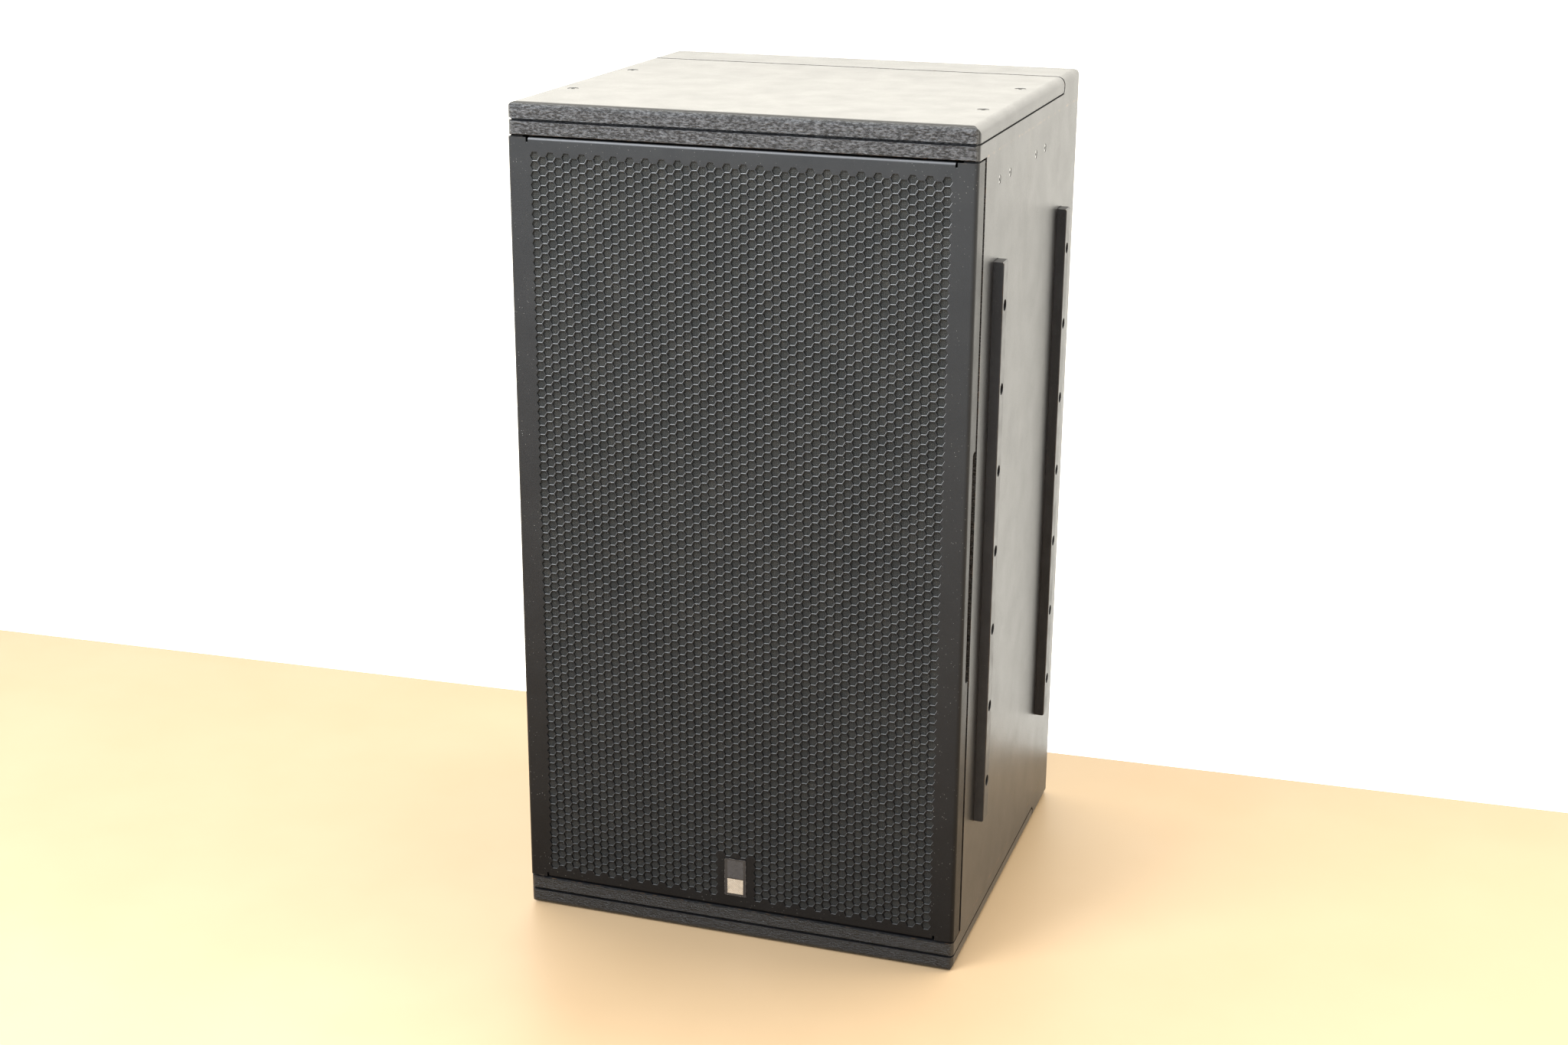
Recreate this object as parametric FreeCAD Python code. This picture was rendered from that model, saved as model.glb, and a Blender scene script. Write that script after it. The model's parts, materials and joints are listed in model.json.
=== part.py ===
import FreeCAD, Part
import math
import os

# A twin 15-inch pa speaker cabinet standing on end, in millimetres.
# Origin: centre of the base face. +Z up, the grille faces -Y, the runners are on +X.

V = FreeCAD.Vector
AXIS_X = V(1, 0, 0)
AXIS_Y = V(0, 1, 0)
AXIS_Z = V(0, 0, 1)

# ---------------------------------------------------------------- driving dimensions
WIDTH = 499.0
DEPTH = 488.0
HEIGHT = 915.5

FRONT = -DEPTH / 2
REAR = DEPTH / 2
RIGHT = WIDTH / 2
MID_Z = HEIGHT / 2

# Rounding of the outside edges
LONG_EDGE_R = 9.0
FRONT_EDGE_R = 7.0
REAR_EDGE_R = 9.0

# Plywood shell
SIDE_T = 18.0
END_T = 15.0
COVER_T = 19.0
COVER_DEPTH = 398.4
COVER_CHAMFER = 5.0
SEAM = 4.0
SHADOW_GAP = 2.0
SHADOW_GAP_DEPTH = 4.0
END_PANEL_EASE = 1.5
SIDE_SETBACK = 33.0
REAR_T = 18.0
REAR_RECESS = 40.0
REAR_OPENING_R = 6.0
BAFFLE_T = 24.0
BAFFLE_SETBACK = 50.0
BRACE_T = 18.0
BRACE_Y = (0.0, 70.0)
BRACE_WINDOW_X = 150.0
BRACE_WINDOW_MARGIN = 18.0
BRACE_WINDOW_R = 10.0

INNER_X = RIGHT - SIDE_T
COVER_Z = HEIGHT - COVER_T
INNER_Z = COVER_Z - END_T
COVER_REAR_Y = FRONT + COVER_DEPTH
SIDE_FRONT_Y = FRONT + SIDE_SETBACK
BAFFLE_Y = FRONT + BAFFLE_SETBACK
BAFFLE_BACK_Y = BAFFLE_Y + BAFFLE_T
REAR_FACE_Y = REAR - REAR_RECESS
REAR_INNER_Y = REAR_FACE_Y - REAR_T

# Screws that hold the end covers, and the anchor angles that they thread into
COVER_SCREW_X = RIGHT - 25.0
COVER_SCREW_Y = (FRONT + 115.0, FRONT + 284.0)
COVER_SCREW_R = 3.0
COVER_SCREW_HEAD_R = 6.0
COVER_SCREW_LENGTH = 38.0
ANCHOR_LENGTH = 74.0
ANCHOR_T = 3.0
ANCHOR_DROP = 46.0
ANCHOR_REACH = 38.0
ANCHOR_SCREW_Z = HEIGHT - 65.5
ANCHOR_SCREW_HALF_PITCH = 23.0
ANCHOR_SCREW_R = 2.5
ANCHOR_SCREW_HEAD_R = 4.6
ANCHOR_SCREW_LENGTH = 21.5
INNER_SCREW_HEAD_T = 2.6
INNER_SCREW_LENGTH = 15.0
SCREW_SINK = 0.4
SCREW_CLEARANCE = 0.2
PILOT_CLEARANCE = 0.1
HEX_SOCKET_SHARE = 0.8
ROUND_SOCKET_SHARE = 0.75
ROUND_SOCKET_DEPTH_SHARE = 0.6

# Runners
RUNNER_WIDTH = 20.0
RUNNER_PROUD = 11.0
GROOVE_DEPTH = 6.0
GROOVE_CLEARANCE = 0.2
GROOVE_END = 0.8
RUNNER_LENGTH = 622.0
RUNNER_BEVEL = 1.5
RUNNER_EDGE = 1.2
RUNNER_Y = {"front_runner": FRONT + 87.5, "rear_runner": FRONT + 398.5}
RUNNER_SCREWS = 7
RUNNER_PITCH = 88.4
RUNNER_BORE_R = 6.2
RUNNER_BORE_DEPTH = 7.0
RUNNER_SCREW_R = 2.6
RUNNER_HEAD_R = 5.4
RUNNER_HEAD_T = 3.2
RUNNER_SCREW_LENGTH = 19.0

# Grille: one folded steel sheet with a screen behind it
GRILLE_T = 1.5
GRILLE_GAP = 2.0
GRILLE_BEND_R = 3.0
GRILLE_SIDE_BEND_R = 5.0
GRILLE_BEND_ZONE = 12.0
GRILLE_SIDE_FLANGE = 26.0
GRILLE_END_FLANGE = 18.0
GRILLE_RELIEF_X = RIGHT - 23.4
GRILLE_RELIEF_W = 2.4
GRILLE_RELIEF_H = 5.0
GRILLE_Z = (HEIGHT - INNER_Z + GRILLE_GAP, INNER_Z - GRILLE_GAP)
FINGER_NOTCH_Z = (MID_Z - 126.0, MID_Z + 126.0)
FINGER_NOTCH_DEPTH = 10.0
FINGER_NOTCH_R = 5.0
SCREEN_T = 2.5
SCREEN_MARGIN = 5.5
CLIP_W = 24.0
CLIP_T = 1.0
CLIP_STEP = 1.0
CLIP_FOOT = 22.0
CLIP_RISE = 32.0
CLIP_Z = (120.0, 300.0, HEIGHT - 300.0, HEIGHT - 120.0)

# Emblem near the lower edge of the grille
BADGE_W = 25.0
BADGE_H = 45.0
BADGE_Z = 73.0
BADGE_T = 2.5
BADGE_PROUD = 1.0
BADGE_CORNER_R = 1.5
BADGE_POCKET_W = 18.6
BADGE_POCKET_H = 18.0
BADGE_POCKET_DEPTH = 0.6
BADGE_POCKET_RAISE = 2.6
BADGE_CLEARANCE = 0.3
BADGE_INLAY_CLEARANCE = 0.1

# Vent ducts
DUCT_X = 172.0
DUCT_R = 52.0
DUCT_WALL = 3.0
DUCT_LENGTH = 180.0
DUCT_LIP_R = 57.0
DUCT_LIP_T = 4.0
DUCT_LIP_BEVEL = 1.0

# Drivers. Depths are measured rearwards from the baffle's front face.
DRIVER_OFFSET = 195.0
DRIVER_Z = {"lower": MID_Z - DRIVER_OFFSET, "upper": MID_Z + DRIVER_OFFSET}
FLANGE_R = 194.0
FLANGE_T = 8.0
CUTOUT_R = 177.5
SHELL_R = 176.5
SHELL_T = 6.0
SEAT_R = (170.0, 178.0)
SEAT_DEPTH = -3.0
BOLT_CIRCLE_R = 186.0
DRIVER_BOLTS = 8
DRIVER_BOLT_R = 3.0
DRIVER_BOLT_HEAD_R = 5.0
DRIVER_BOLT_HEAD_T = 6.0
DRIVER_BOLT_LENGTH = 38.0
NECK_OUT_R = 92.0
NECK_IN_R = 80.0
NECK_STEP = 4.0
SPIDER_SEAT = 83.5
MOTOR_SEAT = 98.0
BASKET_FLOOR_T = 8.0
BASKET_BORE_R = 56.0
BASKET_WINDOWS = 6
WINDOW_ANGLE = 38.0
WINDOW_R = (104.0, 164.0)
WINDOW_SPAN = (3.0, 203.0)
TOP_PLATE_T = 12.0
TOP_PLATE_R = (52.2, 86.0)
MAGNET_T = 28.0
MAGNET_R = (60.0, 100.0)
YOKE_T = 14.0
YOKE_R = 86.0
YOKE_BEVEL = 4.0
POLE_R = 48.6
POLE_VENT_R = 16.0
FORMER_R = (49.4, 50.0)
FORMER_SPAN = (66.0, 126.0)
WINDING_R = 51.2
WINDING_SPAN = (92.5, 115.5)
CONE_RIM_R = 141.7
CONE_RIM_DEPTH = -4.5
CONE_NECK_DEPTH = 70.0
CONE_WALL = 1.8
CONE_BULGE = 6.0
RIM_CLEARANCE = 0.3
SURROUND_T = 1.6
SURROUND_LIP = 4.0
ROLL_HEIGHT = 12.0
CAP_R = 68.0
CAP_RISE = 21.0
CAP_T = 1.4
CAP_GAP = 0.2
SPIDER_T = 1.2
SPIDER_FLAT = 6.0
SPIDER_EDGE_GAP = 0.6
SPIDER_WAVE = 2.4
SPIDER_WAVES = 6
TERMINAL_SIZE = (8.0, 10.0, 22.0)
TERMINAL_SET_IN = 2.0

# Leads from the drivers to the amplifier tray. The upper lead's route points are given
# as x, run back from the terminals, and drop towards the cabinet's middle.
LEAD_R = 3.0
LEAD_ROUTE = ((140.0, 0.0, 0.0), (172.0, 36.0, 12.0), (176.0, 88.0, 37.0), (150.0, 134.0, 67.0))
LEAD_END_X = 100.0
LEAD_END_DROP = 96.0
LEAD_LAST_RUN = 46.0
LEAD_BEND_SHARE = 0.45

# Rear amplifier module
AMP_W = 300.0
AMP_H = 420.0
AMP_T = 3.0
AMP_CORNER_R = 8.0
AMP_LIP = 12.0
TRAY_LIP = 16.0
TRAY_DEPTH = 90.0
TRAY_WALL = 1.5
AMP_SCREW_INSET = 6.0
AMP_SCREW_ROWS = 5
AMP_SCREW_R = 2.0
AMP_SCREW_HEAD_R = 4.0
AMP_SCREW_HEAD_T = 2.4
AMP_SCREW_LENGTH = 16.0
SINK_W = 252.0
SINK_Z = (470.0, 650.0)
SINK_BASE_T = 6.0
SINK_FINS = 22
FIN_T = 2.4
FIN_H = 27.0
FAN_POS = (-88.0, 392.0)
FAN_SIZE = 80.0
FAN_T = 25.0
FAN_CORNER_R = 4.0
FAN_BORE_R = 38.0
FAN_CARRIER_R = 16.0
FAN_CARRIER_T = 3.0
FAN_STRUT_W = 5.0
FAN_STRUTS = 4
ROTOR_HUB_R = 15.0
ROTOR_HUB_T = 19.0
ROTOR_GAP = 0.5
ROTOR_TIP_R = 36.5
ROTOR_BLADES = 7
BLADE_T = 1.6
BLADE_CHORD = 17.0
BLADE_PITCH = 38.0
GUARD_RINGS = ((9.0, 15.0), (18.0, 24.0), (27.0, 33.0))
GUARD_SECTORS = 4
GUARD_RIB_ANGLE = 12.0
XLR_INPUT_POS = (24.0, 418.0)
XLR_OUTPUT_POS = (68.0, 418.0)
XLR_FLANGE = (26.0, 31.0, 3.0)
XLR_CORNER_R = 2.5
XLR_BODY_R = 11.8
XLR_BODY_DEPTH = 22.0
XLR_SOCKET_R = 9.6
XLR_SOCKET_DEPTH = 16.0
XLR_INSERT_R = 7.6
XLR_PIN_R = 1.2
XLR_PIN_CIRCLE_R = 4.2
XLR_PIN_SETBACK = 4.0
XLR_PIN_ANGLES = (50.0, 180.0, 310.0)
XLR_HOLE_R = 12.0
LATCH_SIZE = (6.0, 2.5, 3.2)
LATCH_OFFSET_Z = 12.9
LATCH_GAP = 0.3
LATCH_TRAVEL = 1.4
MAINS_POS = (46.0, 338.0)
MAINS_FLANGE = (50.0, 25.0, 2.5)
MAINS_CORNER_R = 4.0
MAINS_BODY = (30.0, 22.0, 24.0)
MAINS_RECESS = (25.0, 17.0, 18.0)
MAINS_RECESS_R = 1.0
MAINS_RECESS_CUT = 5.0
MAINS_BLADE = (2.0, 5.0, 14.0)
MAINS_BLADE_X = (-7.0, 0.0, 7.0)
MAINS_BLADE_DROP = 2.5
SWITCH_POS = (112.0, 418.0)
SWITCH_BEZEL = (16.0, 22.0, 2.0)
SWITCH_CORNER_R = 1.5
SWITCH_WELL = (11.0, 17.0)
SWITCH_DEPTH = 16.0
SWITCH_WALL = 1.2
ROCKER_SIZE = (10.2, 14.6)
ROCKER_TILT = 10.0
ROCKER_PROUD = 2.6
ROCKER_ROOT = (4.0, 3.0)
ROCKER_SKIRT = 1.0
ROCKER_TIP_R = 0.5
ROCKER_PIVOT_DEPTH = 1.0
LED_POS = ((104.0, 372.0), (112.0, 372.0), (120.0, 372.0))
LED_R = 2.0
LED_PROUD = 1.6
BOARD = ((-122.0, 122.0), (448.0, 640.0))
BOARD_STANDOFF = 8.0
BOARD_T = 1.6
STANDOFF_R = 3.0
STANDOFF_INSET = 8.0
CAPACITOR_R = 15.0
CAPACITOR_H = 45.0
CAPACITOR_POS = ((-90.0, 600.0), (-52.0, 600.0), (-14.0, 600.0), (24.0, 600.0))
POWER_BAR = ((-110.0, 110.0), (490.0, 520.0), 24.0)
CHOKE_POS = ((70.0, 560.0), (-70.0, 552.0))
CHOKE_R = 14.0
CHOKE_H = 18.0
TRANSFORMER_POS = (70.0, 345.0)
TRANSFORMER_R = (18.0, 55.0)
TRANSFORMER_H = 46.0
TRANSFORMER_EDGE_R = 9.0
TRANSFORMER_BOLT_R = 4.0
TRANSFORMER_BOLT_UP = 5.0
TRANSFORMER_WASHER_R = 30.0
TRANSFORMER_WASHER_T = 2.0
TRANSFORMER_NUT_R = 7.2
TRANSFORMER_FOOT_R = 2.0
LINING_X = 200.0
LINING_T = 25.0
LINING_Z = (690.0, 866.0)

AMP_OUTER_Y = REAR_FACE_Y + AMP_T
TRAY_INNER_Y = REAR_FACE_Y - TRAY_DEPTH
TRAY_FLOOR_Y = TRAY_INNER_Y + TRAY_WALL

# ---------------------------------------------------------------- shape helpers


def box(x_span, y_span, z_span):
    low = V(x_span[0], y_span[0], z_span[0])
    return Part.makeBox(x_span[1] - x_span[0], y_span[1] - y_span[0], z_span[1] - z_span[0], low)


def centred(middle, size):
    """Span of a given size about its middle."""
    return (middle - size / 2, middle + size / 2)


def fuse(shapes):
    return shapes[0].multiFuse(shapes[1:]).removeSplitter()


def solid_of(shape):
    """The one solid inside a boolean's result."""
    if shape.ShapeType == "Solid":
        return shape
    if len(shape.Solids) != 1:
        raise ValueError("expected one solid, found %d" % len(shape.Solids))
    return shape.Solids[0]


def rounded_wire(corners):
    """Closed wire through (point, radius) corners, with tangent arcs at the corners."""
    legs = []
    count = len(corners)
    for i, (point, radius) in enumerate(corners):
        if radius == 0:
            legs.append((point, None, point))
            continue
        back = (corners[i - 1][0] - point).normalize()
        ahead = (corners[(i + 1) % count][0] - point).normalize()
        half = back.getAngle(ahead) / 2
        inward = (back + ahead).normalize()
        reach = radius / math.tan(half)
        middle = point + inward * (radius / math.sin(half) - radius)
        legs.append((point + back * reach, middle, point + ahead * reach))
    edges = []
    for i, (start, middle, end) in enumerate(legs):
        if middle is not None:
            edges.append(Part.Arc(start, middle, end).toShape())
        following = legs[(i + 1) % count][0]
        if (following - end).Length > 1e-6:
            edges.append(Part.LineSegment(end, following).toShape())
    return Part.Wire(edges)


def prism(corners, direction):
    """Extrude a closed outline of (point, radius) corners."""
    return Part.Face(rounded_wire(corners)).extrude(direction)


def prism_along_x(outline, x_span):
    """Outline of (y, z, radius) corners, extruded along X."""
    corners = [(V(x_span[0], y, z), r) for y, z, r in outline]
    return prism(corners, V(x_span[1] - x_span[0], 0, 0))


def prism_along_y(outline, y_span):
    """Outline of (x, z, radius) corners, extruded along Y."""
    corners = [(V(x, y_span[0], z), r) for x, z, r in outline]
    return prism(corners, V(0, y_span[1] - y_span[0], 0))


def prism_along_z(outline, z_span):
    """Outline of (x, y, radius) corners, extruded along Z."""
    corners = [(V(x, y, z_span[0]), r) for x, y, r in outline]
    return prism(corners, V(0, 0, z_span[1] - z_span[0]))


def rounded_plate(x_span, z_span, y_span, radius):
    """Upright plate with rounded corners."""
    outline = [(x_span[0], z_span[0], radius), (x_span[1], z_span[0], radius),
               (x_span[1], z_span[1], radius), (x_span[0], z_span[1], radius)]
    return prism_along_y(outline, y_span)


def rod(radius, start, end):
    return Part.makeCylinder(radius, (end - start).Length, start, end - start)


def rod_y(radius, x, z, y_span):
    return rod(radius, V(x, y_span[0], z), V(x, y_span[1], z))


def turned(profile, x, z):
    """Revolve a closed (radius, y) outline about the line along Y through x, z."""
    corners = [(V(x + r, y, z), 0) for r, y in profile]
    return Part.Face(rounded_wire(corners)).revolve(V(x, 0, z), AXIS_Y, 360)


def aim(shape, point, direction):
    """Turn a shape built along +Z to another direction and move it to a point."""
    copy = shape.copy()
    copy.Placement = FreeCAD.Placement(point, FreeCAD.Rotation(AXIS_Z, direction))
    return copy


def countersunk_screw(radius, head_radius, length):
    """Screw along +Z with its flat head's top at the origin and a hexagon socket."""
    head_height = head_radius - radius
    head = Part.makeCone(radius, head_radius, head_height, V(0, 0, -head_height))
    shank = Part.makeCylinder(radius, length - head_height, V(0, 0, -length))
    reach = radius * HEX_SOCKET_SHARE
    corners = [V(reach * math.cos(math.radians(60 * i)), reach * math.sin(math.radians(60 * i)), 0)
               for i in range(7)]
    socket = Part.Face(Part.makePolygon(corners)).extrude(V(0, 0, -head_height * HEX_SOCKET_SHARE))
    return solid_of(fuse([head, shank]).cut(socket))


def pan_screw(radius, head_radius, head_height, length):
    """Screw along +Z whose head stands on the origin plane."""
    head = Part.makeCylinder(head_radius, head_height)
    shank = Part.makeCylinder(radius, length, V(0, 0, -length))
    depth = head_height * ROUND_SOCKET_DEPTH_SHARE
    socket = Part.makeCylinder(radius * ROUND_SOCKET_SHARE, depth, V(0, 0, head_height - depth))
    return solid_of(fuse([head, shank]).cut(socket))


def countersink(radius, head_radius, depth):
    """Cutter along +Z for a countersunk screw sunk just below the face at the origin."""
    gap = SCREW_CLEARANCE
    sink = SCREW_SINK
    height = head_radius - radius
    cone = Part.makeCone(radius + gap, head_radius + gap, height, V(0, 0, -sink - height))
    mouth = Part.makeCylinder(head_radius + gap, sink + 1, V(0, 0, -sink))
    shaft = Part.makeCylinder(radius + gap, depth + 2, V(0, 0, -depth - 1))
    return cone.fuse([mouth, shaft])


def mirrored_z(shape):
    """The same shape at the other end of the cabinet."""
    return shape.mirror(V(0, 0, MID_Z), AXIS_Z)


def mirrored_x(shape):
    return shape.mirror(V(0, 0, 0), AXIS_X)


nodes = {}


def add(name, *shapes):
    """Register one node, from one solid or from a group of separate solids."""
    solids = [solid_of(shape) for shape in shapes]
    nodes[name] = solids[0] if len(solids) == 1 else Part.makeCompound(solids)


# ---------------------------------------------------------------- enclosure


def envelope():
    """Outside form of the whole cabinet: three rounded prisms in common."""
    r = LONG_EDGE_R
    long_edges = prism_along_y([(-RIGHT, 0, r), (RIGHT, 0, r), (RIGHT, HEIGHT, r), (-RIGHT, HEIGHT, r)],
                               (FRONT, REAR))
    upright = prism_along_z([(-RIGHT, FRONT, FRONT_EDGE_R), (RIGHT, FRONT, FRONT_EDGE_R),
                             (RIGHT, REAR, REAR_EDGE_R), (-RIGHT, REAR, REAR_EDGE_R)], (0, HEIGHT))
    across = prism_along_x([(FRONT, 0, FRONT_EDGE_R), (REAR, 0, REAR_EDGE_R),
                            (REAR, HEIGHT, REAR_EDGE_R), (FRONT, HEIGHT, FRONT_EDGE_R)], (-RIGHT, RIGHT))
    return long_edges.common(upright).common(across)


OUTSIDE = envelope()


def cover_screw_points():
    return [V(side * COVER_SCREW_X, y, HEIGHT) for side in (-1, 1) for y in COVER_SCREW_Y]


def anchor_screw_y():
    """Places along Y of the screws that hold the corner angles."""
    pitch = ANCHOR_SCREW_HALF_PITCH
    return [y + offset for y in COVER_SCREW_Y for offset in (-pitch, pitch)]


def runner_screw_z():
    return [MID_Z + (i - (RUNNER_SCREWS - 1) / 2) * RUNNER_PITCH for i in range(RUNNER_SCREWS)]


def make_end_panels():
    """Full-width end panels, stepped up at the rear behind the covers."""
    chamfer = COVER_CHAMFER
    seam_y = COVER_REAR_Y + SEAM
    ease = END_PANEL_EASE
    outline = [(FRONT, INNER_Z, ease), (REAR, INNER_Z, 0), (REAR, HEIGHT, 0), (seam_y, HEIGHT, 0),
               (seam_y, COVER_Z + chamfer, 0), (seam_y - chamfer, COVER_Z, 0), (FRONT, COVER_Z, ease)]
    panel = prism_along_x(outline, (-RIGHT, RIGHT)).common(OUTSIDE)
    for point in cover_screw_points():
        panel = panel.cut(rod(COVER_SCREW_R + SCREW_CLEARANCE, point, V(point.x, point.y, 0)))
    add("top_end_panel", panel)
    add("bottom_end_panel", mirrored_z(panel))


def make_side_panels():
    """Side panels between the end panels. The right one carries the runner grooves."""
    y_span = (SIDE_FRONT_Y, REAR)
    z_span = (HEIGHT - INNER_Z, INNER_Z)
    right = box((INNER_X, RIGHT), y_span, z_span).common(OUTSIDE)
    left = box((-RIGHT, -INNER_X), y_span, z_span).common(OUTSIDE)
    sink = countersink(ANCHOR_SCREW_R, ANCHOR_SCREW_HEAD_R, SIDE_T)
    low_z = HEIGHT - ANCHOR_SCREW_Z
    pilot_end_x = INNER_X - ANCHOR_T + INNER_SCREW_LENGTH + 1
    right_cutters = []
    for y in anchor_screw_y():
        right_cutters.append(aim(sink, V(RIGHT, y, ANCHOR_SCREW_Z), AXIS_X))
        right_cutters.append(rod(ANCHOR_SCREW_R + PILOT_CLEARANCE, V(INNER_X - 1, y, low_z),
                                 V(pilot_end_x, y, low_z)))
    right = right.cut(right_cutters)
    left = left.cut([mirrored_x(cutter) for cutter in right_cutters])
    half_width = RUNNER_WIDTH / 2 + GROOVE_CLEARANCE
    half_length = RUNNER_LENGTH / 2 + GROOVE_END
    floor_x = RIGHT - GROOVE_DEPTH
    screw_end_x = RIGHT + RUNNER_PROUD - RUNNER_BORE_DEPTH - RUNNER_SCREW_LENGTH - 1
    cutters = []
    for y in RUNNER_Y.values():
        outline = [(y - half_width, MID_Z - half_length, GROOVE_END),
                   (y + half_width, MID_Z - half_length, GROOVE_END),
                   (y + half_width, MID_Z + half_length, GROOVE_END),
                   (y - half_width, MID_Z + half_length, GROOVE_END)]
        cutters.append(prism_along_x(outline, (floor_x, RIGHT + 1)))
        for z in runner_screw_z():
            cutters.append(rod(RUNNER_SCREW_R + PILOT_CLEARANCE, V(screw_end_x, y, z), V(RIGHT, y, z)))
    add("right_side_panel", right.cut(cutters))
    add("left_side_panel", left)


def make_rear_panel():
    panel = box((-INNER_X, INNER_X), (REAR_INNER_Y, REAR_FACE_Y), (HEIGHT - INNER_Z, INNER_Z))
    half_w = AMP_W / 2 - AMP_LIP
    half_h = AMP_H / 2 - AMP_LIP
    y_span = (REAR_INNER_Y - 1, REAR_FACE_Y + 1)
    panel = panel.cut(rounded_plate((-half_w, half_w), (MID_Z - half_h, MID_Z + half_h), y_span,
                                    REAR_OPENING_R))
    drill = [rod_y(AMP_SCREW_R + PILOT_CLEARANCE, x, z, (REAR_FACE_Y - AMP_SCREW_LENGTH, REAR_FACE_Y + 1))
             for x, z in amp_screw_points()]
    add("rear_panel", panel.cut(drill))


def driver_bolt_points(z_centre):
    points = []
    for i in range(DRIVER_BOLTS):
        angle = math.radians(360 / DRIVER_BOLTS * (i + 0.5))
        points.append((BOLT_CIRCLE_R * math.cos(angle), z_centre + BOLT_CIRCLE_R * math.sin(angle)))
    return points


def make_baffle():
    """Thick front board, set back behind the grille, with driver and vent holes."""
    board = box((-INNER_X, INNER_X), (BAFFLE_Y, BAFFLE_BACK_Y), (HEIGHT - INNER_Z, INNER_Z))
    through = (BAFFLE_Y - 1, BAFFLE_BACK_Y + 1)
    cutters = [rod_y(CUTOUT_R, 0, z, through) for z in DRIVER_Z.values()]
    cutters += [rod_y(DUCT_R, x, MID_Z, through) for x in (-DUCT_X, DUCT_X)]
    for z_centre in DRIVER_Z.values():
        cutters += [rod_y(DRIVER_BOLT_R + SCREW_CLEARANCE, x, z, through)
                    for x, z in driver_bolt_points(z_centre)]
    add("front_baffle", board.cut(cutters))


def make_ducts():
    """Round vent ducts, each glued through the baffle with a lip on its front face."""
    inner = DUCT_R - DUCT_WALL
    profile = [(inner, BAFFLE_Y - DUCT_LIP_T / 2), (inner + DUCT_LIP_T / 2, BAFFLE_Y - DUCT_LIP_T),
               (DUCT_LIP_R - DUCT_LIP_BEVEL, BAFFLE_Y - DUCT_LIP_T), (DUCT_LIP_R, BAFFLE_Y),
               (DUCT_R, BAFFLE_Y),
               (DUCT_R, BAFFLE_Y + DUCT_LENGTH), (inner, BAFFLE_Y + DUCT_LENGTH)]
    add("right_vent_duct", turned(profile, DUCT_X, MID_Z))
    add("left_vent_duct", turned(profile, -DUCT_X, MID_Z))


def make_brace():
    """Cross brace between the side panels, with a lightening window."""
    brace = box((-INNER_X, INNER_X), BRACE_Y, centred(MID_Z, BRACE_T))
    x = BRACE_WINDOW_X
    near, far = BRACE_Y[0] + BRACE_WINDOW_MARGIN, BRACE_Y[1] - BRACE_WINDOW_MARGIN
    outline = [(px, py, BRACE_WINDOW_R) for px, py in ((-x, near), (x, near), (x, far), (-x, far))]
    add("centre_brace", brace.cut(prism_along_z(outline, (MID_Z - BRACE_T, MID_Z + BRACE_T))))


def make_end_covers():
    """Rounded covers that close both ends ahead of the rear step, on a shadow gap."""
    chamfer = COVER_CHAMFER
    outline = [(FRONT, COVER_Z, 0), (COVER_REAR_Y - chamfer, COVER_Z, 0),
               (COVER_REAR_Y, COVER_Z + chamfer, 0), (COVER_REAR_Y, HEIGHT, 0), (FRONT, HEIGHT, 0)]
    cover = prism_along_x(outline, (-RIGHT, RIGHT)).common(OUTSIDE)
    gap_z = (COVER_Z - 1, COVER_Z + SHADOW_GAP)
    inset = SHADOW_GAP_DEPTH
    gap = box((-RIGHT - 1, RIGHT + 1), (FRONT - 1, REAR), gap_z)
    gap = gap.cut(box((-RIGHT + inset, RIGHT - inset), (FRONT + inset, REAR), gap_z))
    sink = countersink(COVER_SCREW_R, COVER_SCREW_HEAD_R, COVER_T)
    cutters = [gap] + [aim(sink, point, AXIS_Z) for point in cover_screw_points()]
    cover = cover.cut(cutters)
    add("top_end_cover", cover)
    add("bottom_end_cover", mirrored_z(cover))


def make_cover_screws():
    screw = countersunk_screw(COVER_SCREW_R, COVER_SCREW_HEAD_R, COVER_SCREW_LENGTH)
    top = [aim(screw, point - AXIS_Z * SCREW_SINK, AXIS_Z) for point in cover_screw_points()]
    add("cover_screws", *(top + [mirrored_z(shape) for shape in top]))


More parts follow.
